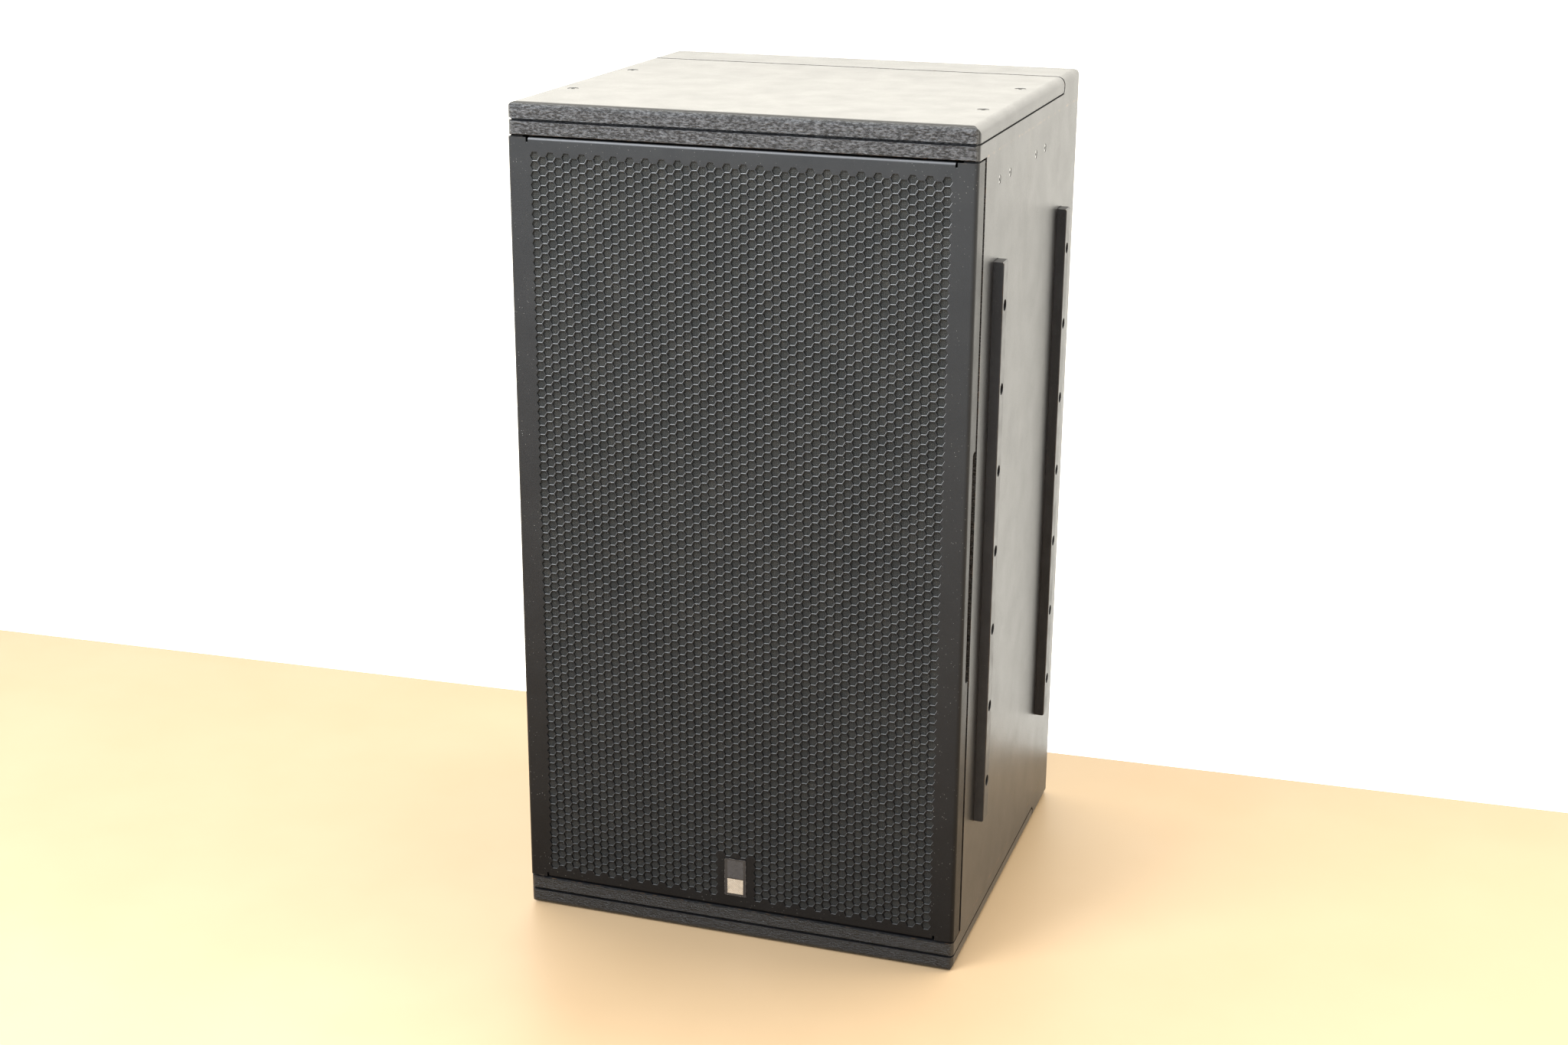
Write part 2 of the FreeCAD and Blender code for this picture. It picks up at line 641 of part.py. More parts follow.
def make_anchors():
    """Steel angles inside the corners, which the cover screws thread into.

    The upper ones are held by countersunk screws through the side panels, the lower ones by
    screws driven from inside.
    """
    right = []
    for y in COVER_SCREW_Y:
        span = centred(y, ANCHOR_LENGTH)
        upright = box((INNER_X - ANCHOR_T, INNER_X), span, (INNER_Z - ANCHOR_DROP, INNER_Z))
        level = box((INNER_X - ANCHOR_REACH, INNER_X), span, (INNER_Z - ANCHOR_T, INNER_Z))
        drill = [rod(COVER_SCREW_R, V(COVER_SCREW_X, y, INNER_Z - 2 * ANCHOR_T),
                     V(COVER_SCREW_X, y, INNER_Z + 1))]
        for offset in (-ANCHOR_SCREW_HALF_PITCH, ANCHOR_SCREW_HALF_PITCH):
            drill.append(rod(ANCHOR_SCREW_R, V(INNER_X - 2 * ANCHOR_T, y + offset, ANCHOR_SCREW_Z),
                             V(INNER_X + 1, y + offset, ANCHOR_SCREW_Z)))
        right.append(solid_of(fuse([upright, level]).cut(drill)))
    top = right + [mirrored_x(shape) for shape in right]
    add("anchor_angles", *(top + [mirrored_z(shape) for shape in top]))
    sunk = countersunk_screw(ANCHOR_SCREW_R, ANCHOR_SCREW_HEAD_R, ANCHOR_SCREW_LENGTH)
    plain = pan_screw(ANCHOR_SCREW_R, ANCHOR_SCREW_HEAD_R, INNER_SCREW_HEAD_T, INNER_SCREW_LENGTH)
    screws = []
    for y in anchor_screw_y():
        screws.append(aim(sunk, V(RIGHT - SCREW_SINK, y, ANCHOR_SCREW_Z), AXIS_X))
        screws.append(aim(plain, V(INNER_X - ANCHOR_T, y, HEIGHT - ANCHOR_SCREW_Z), -AXIS_X))
    add("anchor_screws", *(screws + [mirrored_x(shape) for shape in screws]))


def make_runners():
    """Rails let into grooves of the right side panel, with eased ends and bored screw holes."""
    inner_x = RIGHT - GROOVE_DEPTH
    outer_x = RIGHT + RUNNER_PROUD
    half = RUNNER_LENGTH / 2
    screws = []
    screw = pan_screw(RUNNER_SCREW_R, RUNNER_HEAD_R, RUNNER_HEAD_T, RUNNER_SCREW_LENGTH)
    for name, y in RUNNER_Y.items():
        front = y - RUNNER_WIDTH / 2
        back = y + RUNNER_WIDTH / 2
        section = [(inner_x, front, 0), (outer_x, front, RUNNER_EDGE), (outer_x, back, RUNNER_EDGE),
                   (inner_x, back, 0)]
        rail = prism_along_z(section, (MID_Z - half, MID_Z + half))
        side_view = [(V(inner_x, front - 1, MID_Z - half), 0),
                     (V(outer_x - RUNNER_BEVEL, front - 1, MID_Z - half), 0),
                     (V(outer_x, front - 1, MID_Z - half + RUNNER_BEVEL), 0),
                     (V(outer_x, front - 1, MID_Z + half - RUNNER_BEVEL), 0),
                     (V(outer_x - RUNNER_BEVEL, front - 1, MID_Z + half), 0),
                     (V(inner_x, front - 1, MID_Z + half), 0)]
        rail = rail.common(prism(side_view, V(0, RUNNER_WIDTH + 2, 0)))
        cutters = []
        for z in runner_screw_z():
            seat = V(outer_x - RUNNER_BORE_DEPTH, y, z)
            cutters.append(rod(RUNNER_BORE_R, seat, V(outer_x + 1, y, z)))
            cutters.append(rod(RUNNER_SCREW_R + PILOT_CLEARANCE, V(inner_x - 1, y, z), seat))
            screws.append(aim(screw, seat, AXIS_X))
        add(name, rail.cut(cutters))
    add("runner_screws", *screws)


# ---------------------------------------------------------------- grille and emblem


def make_grille():
    """Folded sheet: full front, deep side flanges with a finger notch, short end flanges."""
    t = GRILLE_T
    back = FRONT + GRILLE_SIDE_FLANGE
    side_r = GRILLE_SIDE_BEND_R
    section = [(-RIGHT, back, 0), (-RIGHT, FRONT, side_r), (RIGHT, FRONT, side_r),
               (RIGHT, back, 0), (RIGHT - t, back, 0), (RIGHT - t, FRONT + t, side_r - t),
               (-RIGHT + t, FRONT + t, side_r - t), (-RIGHT + t, back, 0)]
    sheet = prism_along_z(section, GRILLE_Z)
    top = GRILLE_Z[1]
    inner_r = GRILLE_BEND_R - t
    flange_x = (-GRILLE_RELIEF_X, GRILLE_RELIEF_X)
    flange = prism_along_x([(FRONT, top - GRILLE_BEND_ZONE, 0), (FRONT, top, GRILLE_BEND_R),
                            (FRONT + GRILLE_END_FLANGE, top, 0), (FRONT + GRILLE_END_FLANGE, top - t, 0),
                            (FRONT + t, top - t, inner_r), (FRONT + t, top - GRILLE_BEND_ZONE, 0)], flange_x)
    cleared = box(flange_x, (FRONT - 1, FRONT + t + 1), (top - GRILLE_BEND_ZONE, top + 1))
    relief = [box(centred(side * (GRILLE_RELIEF_X + GRILLE_RELIEF_W / 2), GRILLE_RELIEF_W),
                  (FRONT - 1, FRONT + t + 1), (top - GRILLE_RELIEF_H, top + 1)) for side in (-1, 1)]
    cutters = [cleared] + relief
    cutters += [mirrored_z(shape) for shape in cutters]
    notch_y = (back - FINGER_NOTCH_DEPTH, back + FINGER_NOTCH_DEPTH)
    notch_outline = [(notch_y[0], FINGER_NOTCH_Z[0], FINGER_NOTCH_R), (notch_y[1], FINGER_NOTCH_Z[0], 0),
                     (notch_y[1], FINGER_NOTCH_Z[1], 0), (notch_y[0], FINGER_NOTCH_Z[1], FINGER_NOTCH_R)]
    cutters.append(prism_along_x(notch_outline, (-RIGHT - 1, RIGHT + 1)))
    window = BADGE_CLEARANCE * 2
    cutters.append(rounded_plate(centred(0, BADGE_W + window), centred(BADGE_Z, BADGE_H + window),
                                 (FRONT - 1, FRONT + t + 1), BADGE_CORNER_R))
    add("grille", fuse([sheet.cut(cutters), flange, mirrored_z(flange)]))
    screen_x = RIGHT - SCREEN_MARGIN
    screen_z = (GRILLE_Z[0] + SCREEN_MARGIN, GRILLE_Z[1] - SCREEN_MARGIN)
    add("grille_screen", box((-screen_x, screen_x), (FRONT + t, FRONT + t + SCREEN_T), screen_z))


def make_grille_clips():
    """Spring strips on the baffle that press outwards on the grille's side flanges."""
    t = CLIP_T
    bend_x = INNER_X - CLIP_STEP
    tip_x = RIGHT - GRILLE_T
    arm_y = BAFFLE_Y - CLIP_RISE
    outline = [(bend_x - CLIP_FOOT, BAFFLE_Y, 0), (bend_x - CLIP_FOOT, BAFFLE_Y - t, 0),
               (bend_x - t, BAFFLE_Y - t, 0), (bend_x - t, arm_y - t, 0), (tip_x, arm_y - t, 0),
               (tip_x, arm_y, 0), (bend_x, arm_y, 0), (bend_x, BAFFLE_Y, 0)]
    right = [prism_along_z(outline, centred(z, CLIP_W)) for z in CLIP_Z]
    add("grille_clips", *(right + [mirrored_x(shape) for shape in right]))


def make_badge():
    """Plain emblem plate in the grille's window, with a bright inlay in its lower half."""
    face_y = FRONT - BADGE_PROUD
    plate = rounded_plate(centred(0, BADGE_W), centred(BADGE_Z, BADGE_H),
                          (face_y, face_y + BADGE_T), BADGE_CORNER_R)
    pocket_x = centred(0, BADGE_POCKET_W)
    low = BADGE_Z - BADGE_H / 2 + BADGE_POCKET_RAISE
    pocket_z = (low, low + BADGE_POCKET_H)
    pocket = box(pocket_x, (face_y - 1, face_y + BADGE_POCKET_DEPTH), pocket_z)
    add("badge_plate", plate.cut(pocket))
    margin = BADGE_INLAY_CLEARANCE
    inlay = box((pocket_x[0] + margin, pocket_x[1] - margin),
                (face_y + margin, face_y + BADGE_POCKET_DEPTH), (pocket_z[0] + margin, pocket_z[1] - margin))
    add("badge_inlay", inlay)


# ---------------------------------------------------------------- drivers


def depth_profile(points):
    """Turn (radius, depth behind the baffle's face) pairs into (radius, y)."""
    return [(r, BAFFLE_Y + depth) for r, depth in points]


def make_basket(name, z_centre):
    """Cast frame: mounting flange, windowed shell, spider seat and motor seat."""
    profile = [(FLANGE_R, -FLANGE_T), (FLANGE_R, 0), (SHELL_R, 0), (NECK_OUT_R, SPIDER_SEAT + NECK_STEP),
               (NECK_OUT_R, MOTOR_SEAT), (BASKET_BORE_R, MOTOR_SEAT),
               (BASKET_BORE_R, MOTOR_SEAT - BASKET_FLOOR_T), (NECK_IN_R, MOTOR_SEAT - BASKET_FLOOR_T),
               (NECK_IN_R, SPIDER_SEAT), (NECK_OUT_R - SHELL_T / 2, SPIDER_SEAT),
               (SEAT_R[0], SEAT_DEPTH), (SEAT_R[1], SEAT_DEPTH), (SEAT_R[1], -FLANGE_T)]
    shell = turned(depth_profile(profile), 0, z_centre)
    cutters = []
    span = (BAFFLE_Y + WINDOW_SPAN[0], BAFFLE_Y + WINDOW_SPAN[1])
    ring = rod_y(WINDOW_R[1], 0, z_centre, span).cut(rod_y(WINDOW_R[0], 0, z_centre, span))
    reach = 2 * WINDOW_R[1]
    for i in range(BASKET_WINDOWS):
        turn = 360 / BASKET_WINDOWS * i
        wedge = [V(0, 0, 0)]
        for angle in (turn - WINDOW_ANGLE / 2, turn + WINDOW_ANGLE / 2):
            turned_by = math.radians(angle)
            wedge.append(V(reach * math.cos(turned_by), 0, reach * math.sin(turned_by)))
        outline = Part.makePolygon([point + V(0, span[0], z_centre) for point in wedge + wedge[:1]])
        cutters.append(Part.Face(outline).extrude(V(0, span[1] - span[0], 0)).common(ring))
    bolts = [rod_y(DRIVER_BOLT_R + SCREW_CLEARANCE, x, z, (BAFFLE_Y - FLANGE_T - 1, BAFFLE_Y + 1))
             for x, z in driver_bolt_points(z_centre)]
    add(name + "_basket", shell.cut(cutters + bolts))


def make_motor(name, z_centre):
    """Top plate, ring magnet and vented yoke with its pole piece."""
    plate_end = MOTOR_SEAT + TOP_PLATE_T
    magnet_end = plate_end + MAGNET_T
    yoke_end = magnet_end + YOKE_T
    plate = [(TOP_PLATE_R[0], MOTOR_SEAT), (TOP_PLATE_R[1], MOTOR_SEAT),
             (TOP_PLATE_R[1], plate_end), (TOP_PLATE_R[0], plate_end)]
    magnet = [(MAGNET_R[0], plate_end), (MAGNET_R[1], plate_end),
              (MAGNET_R[1], magnet_end), (MAGNET_R[0], magnet_end)]
    yoke = [(POLE_VENT_R, MOTOR_SEAT), (POLE_R, MOTOR_SEAT), (POLE_R, magnet_end), (YOKE_R, magnet_end),
            (YOKE_R, yoke_end - YOKE_BEVEL), (YOKE_R - YOKE_BEVEL, yoke_end), (POLE_VENT_R, yoke_end)]
    add(name + "_top_plate", turned(depth_profile(plate), 0, z_centre))
    add(name + "_magnet", turned(depth_profile(magnet), 0, z_centre))
    add(name + "_yoke", turned(depth_profile(yoke), 0, z_centre))


def arc_points(start, end, bulge, count):
    """Points from start to end on a shallow curve that bows by bulge in depth."""
    points = []
    for i in range(count + 1):
        part = i / count
        radius = start[0] + (end[0] - start[0]) * part
        depth = start[1] + (end[1] - start[1]) * part + bulge * 4 * part * (1 - part)
        points.append((radius, depth))
    return points


def make_moving_parts(name, z_centre):
    """Cone, dust cap and voice coil: the assembly that travels along the driver's axis."""
    neck = (FORMER_R[1], CONE_NECK_DEPTH)
    rim = (CONE_RIM_R, CONE_RIM_DEPTH)
    steps = 8
    front = arc_points(rim, neck, CONE_BULGE, steps)
    back = [(r, depth + CONE_WALL) for r, depth in reversed(front)]
    add(name + "_cone", turned(depth_profile(front + back), 0, z_centre))
    share = (CONE_RIM_R - CAP_R) / (CONE_RIM_R - FORMER_R[1])
    seat = CONE_RIM_DEPTH + (CONE_NECK_DEPTH - CONE_RIM_DEPTH) * share + CONE_BULGE * 4 * share * (1 - share)
    outer = []
    for i in range(steps + 1):
        part = i / steps
        outer.append((CAP_R * part, seat - CAP_GAP - CAP_T - CAP_RISE * (1 - part * part)))
    inner = [(r, depth + CAP_T) for r, depth in reversed(outer)]
    add(name + "_dust_cap", turned(depth_profile(outer + inner), 0, z_centre))
    coil = [(FORMER_R[0], FORMER_SPAN[0]), (FORMER_R[1], FORMER_SPAN[0]), (FORMER_R[1], WINDING_SPAN[0]),
            (WINDING_R, WINDING_SPAN[0]), (WINDING_R, WINDING_SPAN[1]), (FORMER_R[1], WINDING_SPAN[1]),
            (FORMER_R[1], FORMER_SPAN[1]), (FORMER_R[0], FORMER_SPAN[1])]
    add(name + "_voice_coil", turned(depth_profile(coil), 0, z_centre))


def make_suspension(name, z_centre):
    """Half-roll surround in front and corrugated spider behind."""
    t = SURROUND_T
    inner_r = CONE_RIM_R + RIM_CLEARANCE
    roll_in = inner_r + SURROUND_LIP
    roll_out = SEAT_R[0]
    middle = (roll_in + roll_out) / 2
    half = (roll_out - roll_in) / 2
    steps = 10
    outer = []
    for i in range(steps + 1):
        angle = math.pi * i / steps
        outer.append((middle - half * math.cos(angle), SEAT_DEPTH - t - ROLL_HEIGHT * math.sin(angle)))
    scale = (half - t) / half
    inner = [(middle + (r - middle) * scale, min(SEAT_DEPTH, depth + t)) for r, depth in reversed(outer)]
    front = [(inner_r, SEAT_DEPTH - t)] + outer + [(SEAT_R[1], SEAT_DEPTH - t)]
    back = [(SEAT_R[1], SEAT_DEPTH)] + inner + [(inner_r, SEAT_DEPTH)]
    add(name + "_surround", turned(depth_profile(front + back), 0, z_centre))
    spider_in = FORMER_R[1] + RIM_CLEARANCE
    samples = 4 * SPIDER_WAVES
    face = []
    for i in range(samples + 1):
        part = i / samples
        radius = spider_in + SPIDER_FLAT + (NECK_IN_R - 1 - spider_in - SPIDER_FLAT) * part
        wave = SPIDER_WAVE * abs(math.sin(math.pi * SPIDER_WAVES * part))
        face.append((radius, SPIDER_SEAT - SPIDER_T - wave))
    face = [(spider_in, SPIDER_SEAT - SPIDER_T)] + face
    edge_r = NECK_OUT_R - SHELL_T / 2 - SPIDER_EDGE_GAP
    face.append((edge_r - SPIDER_T, SPIDER_SEAT - SPIDER_T))
    rear_face = [(edge_r, SPIDER_SEAT)] + [(r, depth + SPIDER_T) for r, depth in reversed(face[:-1])]
    add(name + "_spider", turned(depth_profile(face + rear_face), 0, z_centre))


def make_driver(name, z_centre):
    make_basket(name, z_centre)
    make_motor(name, z_centre)
    make_moving_parts(name, z_centre)
    make_suspension(name, z_centre)
    depth, length, height = TERMINAL_SIZE
    block = box((NECK_OUT_R - TERMINAL_SET_IN, NECK_OUT_R + depth),
                centred(BAFFLE_Y + MOTOR_SEAT - length / 2, length), centred(z_centre, height))
    add(name + "_terminals", block.cut(rod_y(NECK_OUT_R, 0, z_centre, (BAFFLE_Y, BAFFLE_Y + 2 * MOTOR_SEAT))))


def make_driver_screws():
    bolt = pan_screw(DRIVER_BOLT_R, DRIVER_BOLT_HEAD_R, DRIVER_BOLT_HEAD_T, DRIVER_BOLT_LENGTH)
    bolts = []
    for z_centre in DRIVER_Z.values():
        bolts += [aim(bolt, V(x, BAFFLE_Y - FLANGE_T, z), -AXIS_Y) for x, z in driver_bolt_points(z_centre)]
    add("driver_screws", *bolts)


# ---------------------------------------------------------------- wiring


def tube_along(points, radius):
    """Round tube through a route of points, straight runs joined by tangent arcs."""
    cursor = points[0]
    edges = []
    for i in range(1, len(points) - 1):
        here = points[i]
        run = min((here - points[i - 1]).Length, (points[i + 1] - here).Length)
        back = (points[i - 1] - here).normalize()
        ahead = (points[i + 1] - here).normalize()
        half = back.getAngle(ahead) / 2
        reach = LEAD_BEND_SHARE * run
        bend_r = reach * math.tan(half)
        start = here + back * reach
        end = here + ahead * reach
        middle = here + (back + ahead).normalize() * (bend_r / math.sin(half) - bend_r)
        edges.append(Part.LineSegment(cursor, start).toShape())
        edges.append(Part.Arc(start, middle, end).toShape())
        cursor = end
    edges.append(Part.LineSegment(cursor, points[-1]).toShape())
    path = Part.Wire(edges)
    circle = Part.Wire(Part.Circle(points[0], points[1] - points[0], radius).toShape())
    return path.makePipeShell([circle], True, True)


def make_leads():
    """Internal leads from each driver's terminals to the amplifier tray."""
    start_x = NECK_OUT_R + TERMINAL_SIZE[0]
    start_y = BAFFLE_Y + MOTOR_SEAT - TERMINAL_SIZE[1] / 2
    z = DRIVER_Z["upper"]
    end_z = z - LEAD_END_DROP
    route = [V(start_x, start_y, z)]
    route += [V(x, start_y + run, z - drop) for x, run, drop in LEAD_ROUTE]
    route += [V(LEAD_END_X, TRAY_INNER_Y - LEAD_LAST_RUN, end_z), V(LEAD_END_X, TRAY_INNER_Y, end_z)]
    lead = tube_along(route, LEAD_R)
    add("upper_driver_lead", lead)
    add("lower_driver_lead", mirrored_z(lead))


def make_lining():
    pad = box((-LINING_X, LINING_X), (REAR_INNER_Y - LINING_T, REAR_INNER_Y), LINING_Z)
    add("lining_pads", pad, mirrored_z(pad))


# ---------------------------------------------------------------- amplifier module


def amp_screw_points():
    x = AMP_W / 2 - AMP_SCREW_INSET
    reach = AMP_H / 2 - AMP_SCREW_INSET - AMP_LIP / 2
    points = []
    for i in range(AMP_SCREW_ROWS):
        z = MID_Z - reach + 2 * reach * i / (AMP_SCREW_ROWS - 1)
        points += [(-x, z), (x, z)]
    end = AMP_H / 2 - AMP_SCREW_INSET
    return points + [(0, MID_Z - end), (0, MID_Z + end)]


def annular_sector(x, z, radii, angle, sweep, y_span):
    """Curved slot between two radii, starting at an angle about x, z."""
    ring = rod_y(radii[1], x, z, y_span).cut(rod_y(radii[0], x, z, y_span))
    corners = [V(0, 0, 0)]
    for step in range(3):
        turn = math.radians(angle + sweep * step / 2)
        corners.append(V(2 * radii[1] * math.cos(turn), 0, 2 * radii[1] * math.sin(turn)))
    outline = Part.makePolygon([point + V(x, y_span[0], z) for point in corners + corners[:1]])
    return Part.Face(outline).extrude(V(0, y_span[1] - y_span[0], 0)).common(ring)


def make_amp_chassis():
    """Rear plate with connector holes and a fan guard, and the tray welded behind it."""
    plate = rounded_plate(centred(0, AMP_W), centred(MID_Z, AMP_H), (REAR_FACE_Y, AMP_OUTER_Y), AMP_CORNER_R)
    tray_x = AMP_W / 2 - TRAY_LIP
    tray_h = AMP_H / 2 - TRAY_LIP
    tray = box((-tray_x, tray_x), (TRAY_INNER_Y, REAR_FACE_Y), (MID_Z - tray_h, MID_Z + tray_h))
    wall = TRAY_WALL
    hollow = box((-tray_x + wall, tray_x - wall), (TRAY_FLOOR_Y, REAR_FACE_Y),
                 (MID_Z - tray_h + wall, MID_Z + tray_h - wall))
    chassis = plate.fuse(tray.cut(hollow))
    through = (REAR_FACE_Y - 1, AMP_OUTER_Y + 1)
    cutters = [rod_y(XLR_HOLE_R, x, z, through) for x, z in (XLR_INPUT_POS, XLR_OUTPUT_POS)]
    cutters += [rod_y(AMP_SCREW_R + SCREW_CLEARANCE, x, z, through) for x, z in amp_screw_points()]
    cutters += [rod_y(LED_R, x, z, through) for x, z in LED_POS]
    gap = 0.4
    for (x, z), size in ((MAINS_POS, MAINS_BODY), (SWITCH_POS, switch_body_size())):
        cutters.append(box(centred(x, size[0] + gap), through, centred(z, size[1] + gap)))
    sweep = 360 / GUARD_SECTORS - GUARD_RIB_ANGLE
    for radii in GUARD_RINGS:
        for i in range(GUARD_SECTORS):
            angle = 360 / GUARD_SECTORS * i + GUARD_RIB_ANGLE / 2 + 45
            cutters.append(annular_sector(FAN_POS[0], FAN_POS[1], radii, angle, sweep, through))
    add("amp_chassis", chassis.cut(cutters).removeSplitter())
    screw = pan_screw(AMP_SCREW_R, AMP_SCREW_HEAD_R, AMP_SCREW_HEAD_T, AMP_SCREW_LENGTH)
    add("amp_screws", *[aim(screw, V(x, AMP_OUTER_Y, z), AXIS_Y) for x, z in amp_screw_points()])


def make_heat_sink():
    """Extruded heat sink: a base with upright fins."""
    base_y = (AMP_OUTER_Y, AMP_OUTER_Y + SINK_BASE_T)
    pieces = [box(centred(0, SINK_W), base_y, SINK_Z)]
    pitch = (SINK_W - FIN_T) / (SINK_FINS - 1)
    for i in range(SINK_FINS):
        x = -SINK_W / 2 + pitch * i
        pieces.append(box((x, x + FIN_T), (base_y[0], base_y[1] + FIN_H), SINK_Z))
    add("heat_sink", fuse(pieces))


def make_fan():
    """Square fan frame with a strut-borne carrier, and its bladed rotor."""
    x, z = FAN_POS
    inner_y = REAR_FACE_Y - FAN_T
    frame = rounded_plate(centred(x, FAN_SIZE), centred(z, FAN_SIZE), (inner_y, REAR_FACE_Y), FAN_CORNER_R)
    frame = frame.cut(rod_y(FAN_BORE_R, x, z, (inner_y - 1, REAR_FACE_Y + 1)))
    carrier_y = (inner_y, inner_y + FAN_CARRIER_T)
    pieces = [frame, rod_y(FAN_CARRIER_R, x, z, carrier_y)]
    for i in range(FAN_STRUTS):
        strut = box((x, x + FAN_BORE_R + 1), carrier_y, centred(z, FAN_STRUT_W))
        strut.rotate(V(x, 0, z), AXIS_Y, 45 + 360 / FAN_STRUTS * i)
        pieces.append(strut)
    add("fan_frame", fuse(pieces))
    hub_y = (carrier_y[1] + ROTOR_GAP, carrier_y[1] + ROTOR_GAP + ROTOR_HUB_T)
    rotor = [rod_y(ROTOR_HUB_R, x, z, hub_y)]
    middle_y = (hub_y[0] + hub_y[1]) / 2
    limit = rod_y(ROTOR_TIP_R, x, z, hub_y)
    for i in range(ROTOR_BLADES):
        blade = box((x + ROTOR_HUB_R - 2, x + ROTOR_TIP_R + 2), centred(middle_y, BLADE_CHORD),
                    centred(z, BLADE_T))
        blade.rotate(V(x, middle_y, z), AXIS_X, BLADE_PITCH)
        blade.rotate(V(x, middle_y, z), AXIS_Y, 360 / ROTOR_BLADES * i)
        rotor.append(blade.common(limit))
    add("fan_rotor", fuse(rotor))


def xlr_shell(x, z):
    """Square flange with a round body through the plate."""
    wide, tall, thick = XLR_FLANGE
    flange = rounded_plate(centred(x, wide), centred(z, tall), (AMP_OUTER_Y, AMP_OUTER_Y + thick),
                           XLR_CORNER_R)
    body = rod_y(XLR_BODY_R, x, z, (AMP_OUTER_Y - XLR_BODY_DEPTH, AMP_OUTER_Y + 1))
    return fuse([flange, body])


def pin_points(x, z):
    turns = [math.radians(angle) for angle in XLR_PIN_ANGLES]
    return [(x + XLR_PIN_CIRCLE_R * math.cos(turn), z + XLR_PIN_CIRCLE_R * math.sin(turn)) for turn in turns]


def make_xlr_connectors():
    """Signal input with a ring groove and a release tab, and a link output with pins."""
    face_y = AMP_OUTER_Y + XLR_FLANGE[2]
    floor_y = face_y - XLR_SOCKET_DEPTH
    mouth = (floor_y, face_y + 1)
    x, z = XLR_INPUT_POS
    groove = rod_y(XLR_SOCKET_R, x, z, mouth).cut(rod_y(XLR_INSERT_R, x, z, mouth))
    pin_holes = [rod_y(XLR_PIN_R + SCREW_CLEARANCE, px, pz, mouth) for px, pz in pin_points(x, z)]
    tab_w, tab_h, tab_t = LATCH_SIZE
    tab_z = z + LATCH_OFFSET_Z
    gap = LATCH_GAP
    pocket_floor = AMP_OUTER_Y + gap
    pocket = box(centred(x, tab_w + 2 * gap), (pocket_floor, face_y + 1), centred(tab_z, tab_h + 2 * gap))
    add("xlr_input", xlr_shell(x, z).cut([groove] + pin_holes + [pocket]))
    tab_low = pocket_floor + LATCH_TRAVEL + 0.2
    add("xlr_release_tab", box(centred(x, tab_w), (tab_low, tab_low + tab_t), centred(tab_z, tab_h)))
    x, z = XLR_OUTPUT_POS
    shell = xlr_shell(x, z).cut(rod_y(XLR_SOCKET_R, x, z, mouth))
    pins = [rod_y(XLR_PIN_R, px, pz, (floor_y - 1, face_y - XLR_PIN_SETBACK))
            for px, pz in pin_points(x, z)]
    add("xlr_output", fuse([shell] + pins))


def make_mains_inlet():
    """Three-pin appliance inlet with side ears."""
    x, z = MAINS_POS
    wide, tall, thick = MAINS_FLANGE
    face_y = AMP_OUTER_Y + thick
    flange = rounded_plate(centred(x, wide), centred(z, tall), (AMP_OUTER_Y, face_y), MAINS_CORNER_R)
    body = box(centred(x, MAINS_BODY[0]), (face_y - MAINS_BODY[2], face_y), centred(z, MAINS_BODY[1]))
    recess_w, recess_h, recess_d = MAINS_RECESS
    floor_y = face_y - recess_d
    left = x - recess_w / 2
    right = x + recess_w / 2
    low = z - recess_h / 2
    high = z + recess_h / 2
    r = MAINS_RECESS_R
    cut = MAINS_RECESS_CUT
    recess = prism_along_y([(left, low, r), (right, low, r), (right, high - cut, r), (right - cut, high, r),
                            (left + cut, high, r), (left, high - cut, r)], (floor_y, face_y + 1))
    inlet = fuse([flange, body]).cut(recess)
    blade_w, blade_h, blade_d = MAINS_BLADE
    blades = [box(centred(x + dx, blade_w), (floor_y - 1, floor_y + blade_d),
                  centred(z - MAINS_BLADE_DROP, blade_h)) for dx in MAINS_BLADE_X]
    add("mains_inlet", fuse([inlet] + blades))


def switch_body_size():
    return (SWITCH_WELL[0] + 2 * SWITCH_WALL, SWITCH_WELL[1] + 2 * SWITCH_WALL)


def make_switch():
    """Rocker switch: a bezelled housing and a rocker that tips about X."""
    x, z = SWITCH_POS
    face_y = AMP_OUTER_Y + SWITCH_BEZEL[2]
    inner_y = face_y - SWITCH_DEPTH
    bezel = rounded_plate(centred(x, SWITCH_BEZEL[0]), centred(z, SWITCH_BEZEL[1]), (AMP_OUTER_Y, face_y),
                          SWITCH_CORNER_R)
    wide, tall = switch_body_size()
    body = box(centred(x, wide), (inner_y, face_y), centred(z, tall))
    well = box(centred(x, SWITCH_WELL[0]), (inner_y + SWITCH_WALL, face_y + 1), centred(z, SWITCH_WELL[1]))
    add("switch_housing", fuse([bezel, body]).cut(well))
    half = ROCKER_SIZE[1] / 2
    pivot_y = face_y - ROCKER_PIVOT_DEPTH
    rise = half * math.tan(math.radians(ROCKER_TILT))
    crown = ROCKER_PROUD
    root_y = pivot_y - ROCKER_ROOT[0]
    skirt_y = pivot_y - ROCKER_SKIRT
    tip_y = pivot_y + crown + rise
    outline = [(root_y, z - ROCKER_ROOT[1], 0), (skirt_y, z - half, 0), (tip_y, z - half, ROCKER_TIP_R),
               (pivot_y + crown, z, 0), (tip_y, z + half, ROCKER_TIP_R), (skirt_y, z + half, 0),
               (root_y, z + ROCKER_ROOT[1], 0)]
    rocker = prism_along_x(outline, centred(x, ROCKER_SIZE[0]))
    rocker.rotate(V(x, pivot_y, z), AXIS_X, ROCKER_TILT)
    add("switch_rocker", rocker)


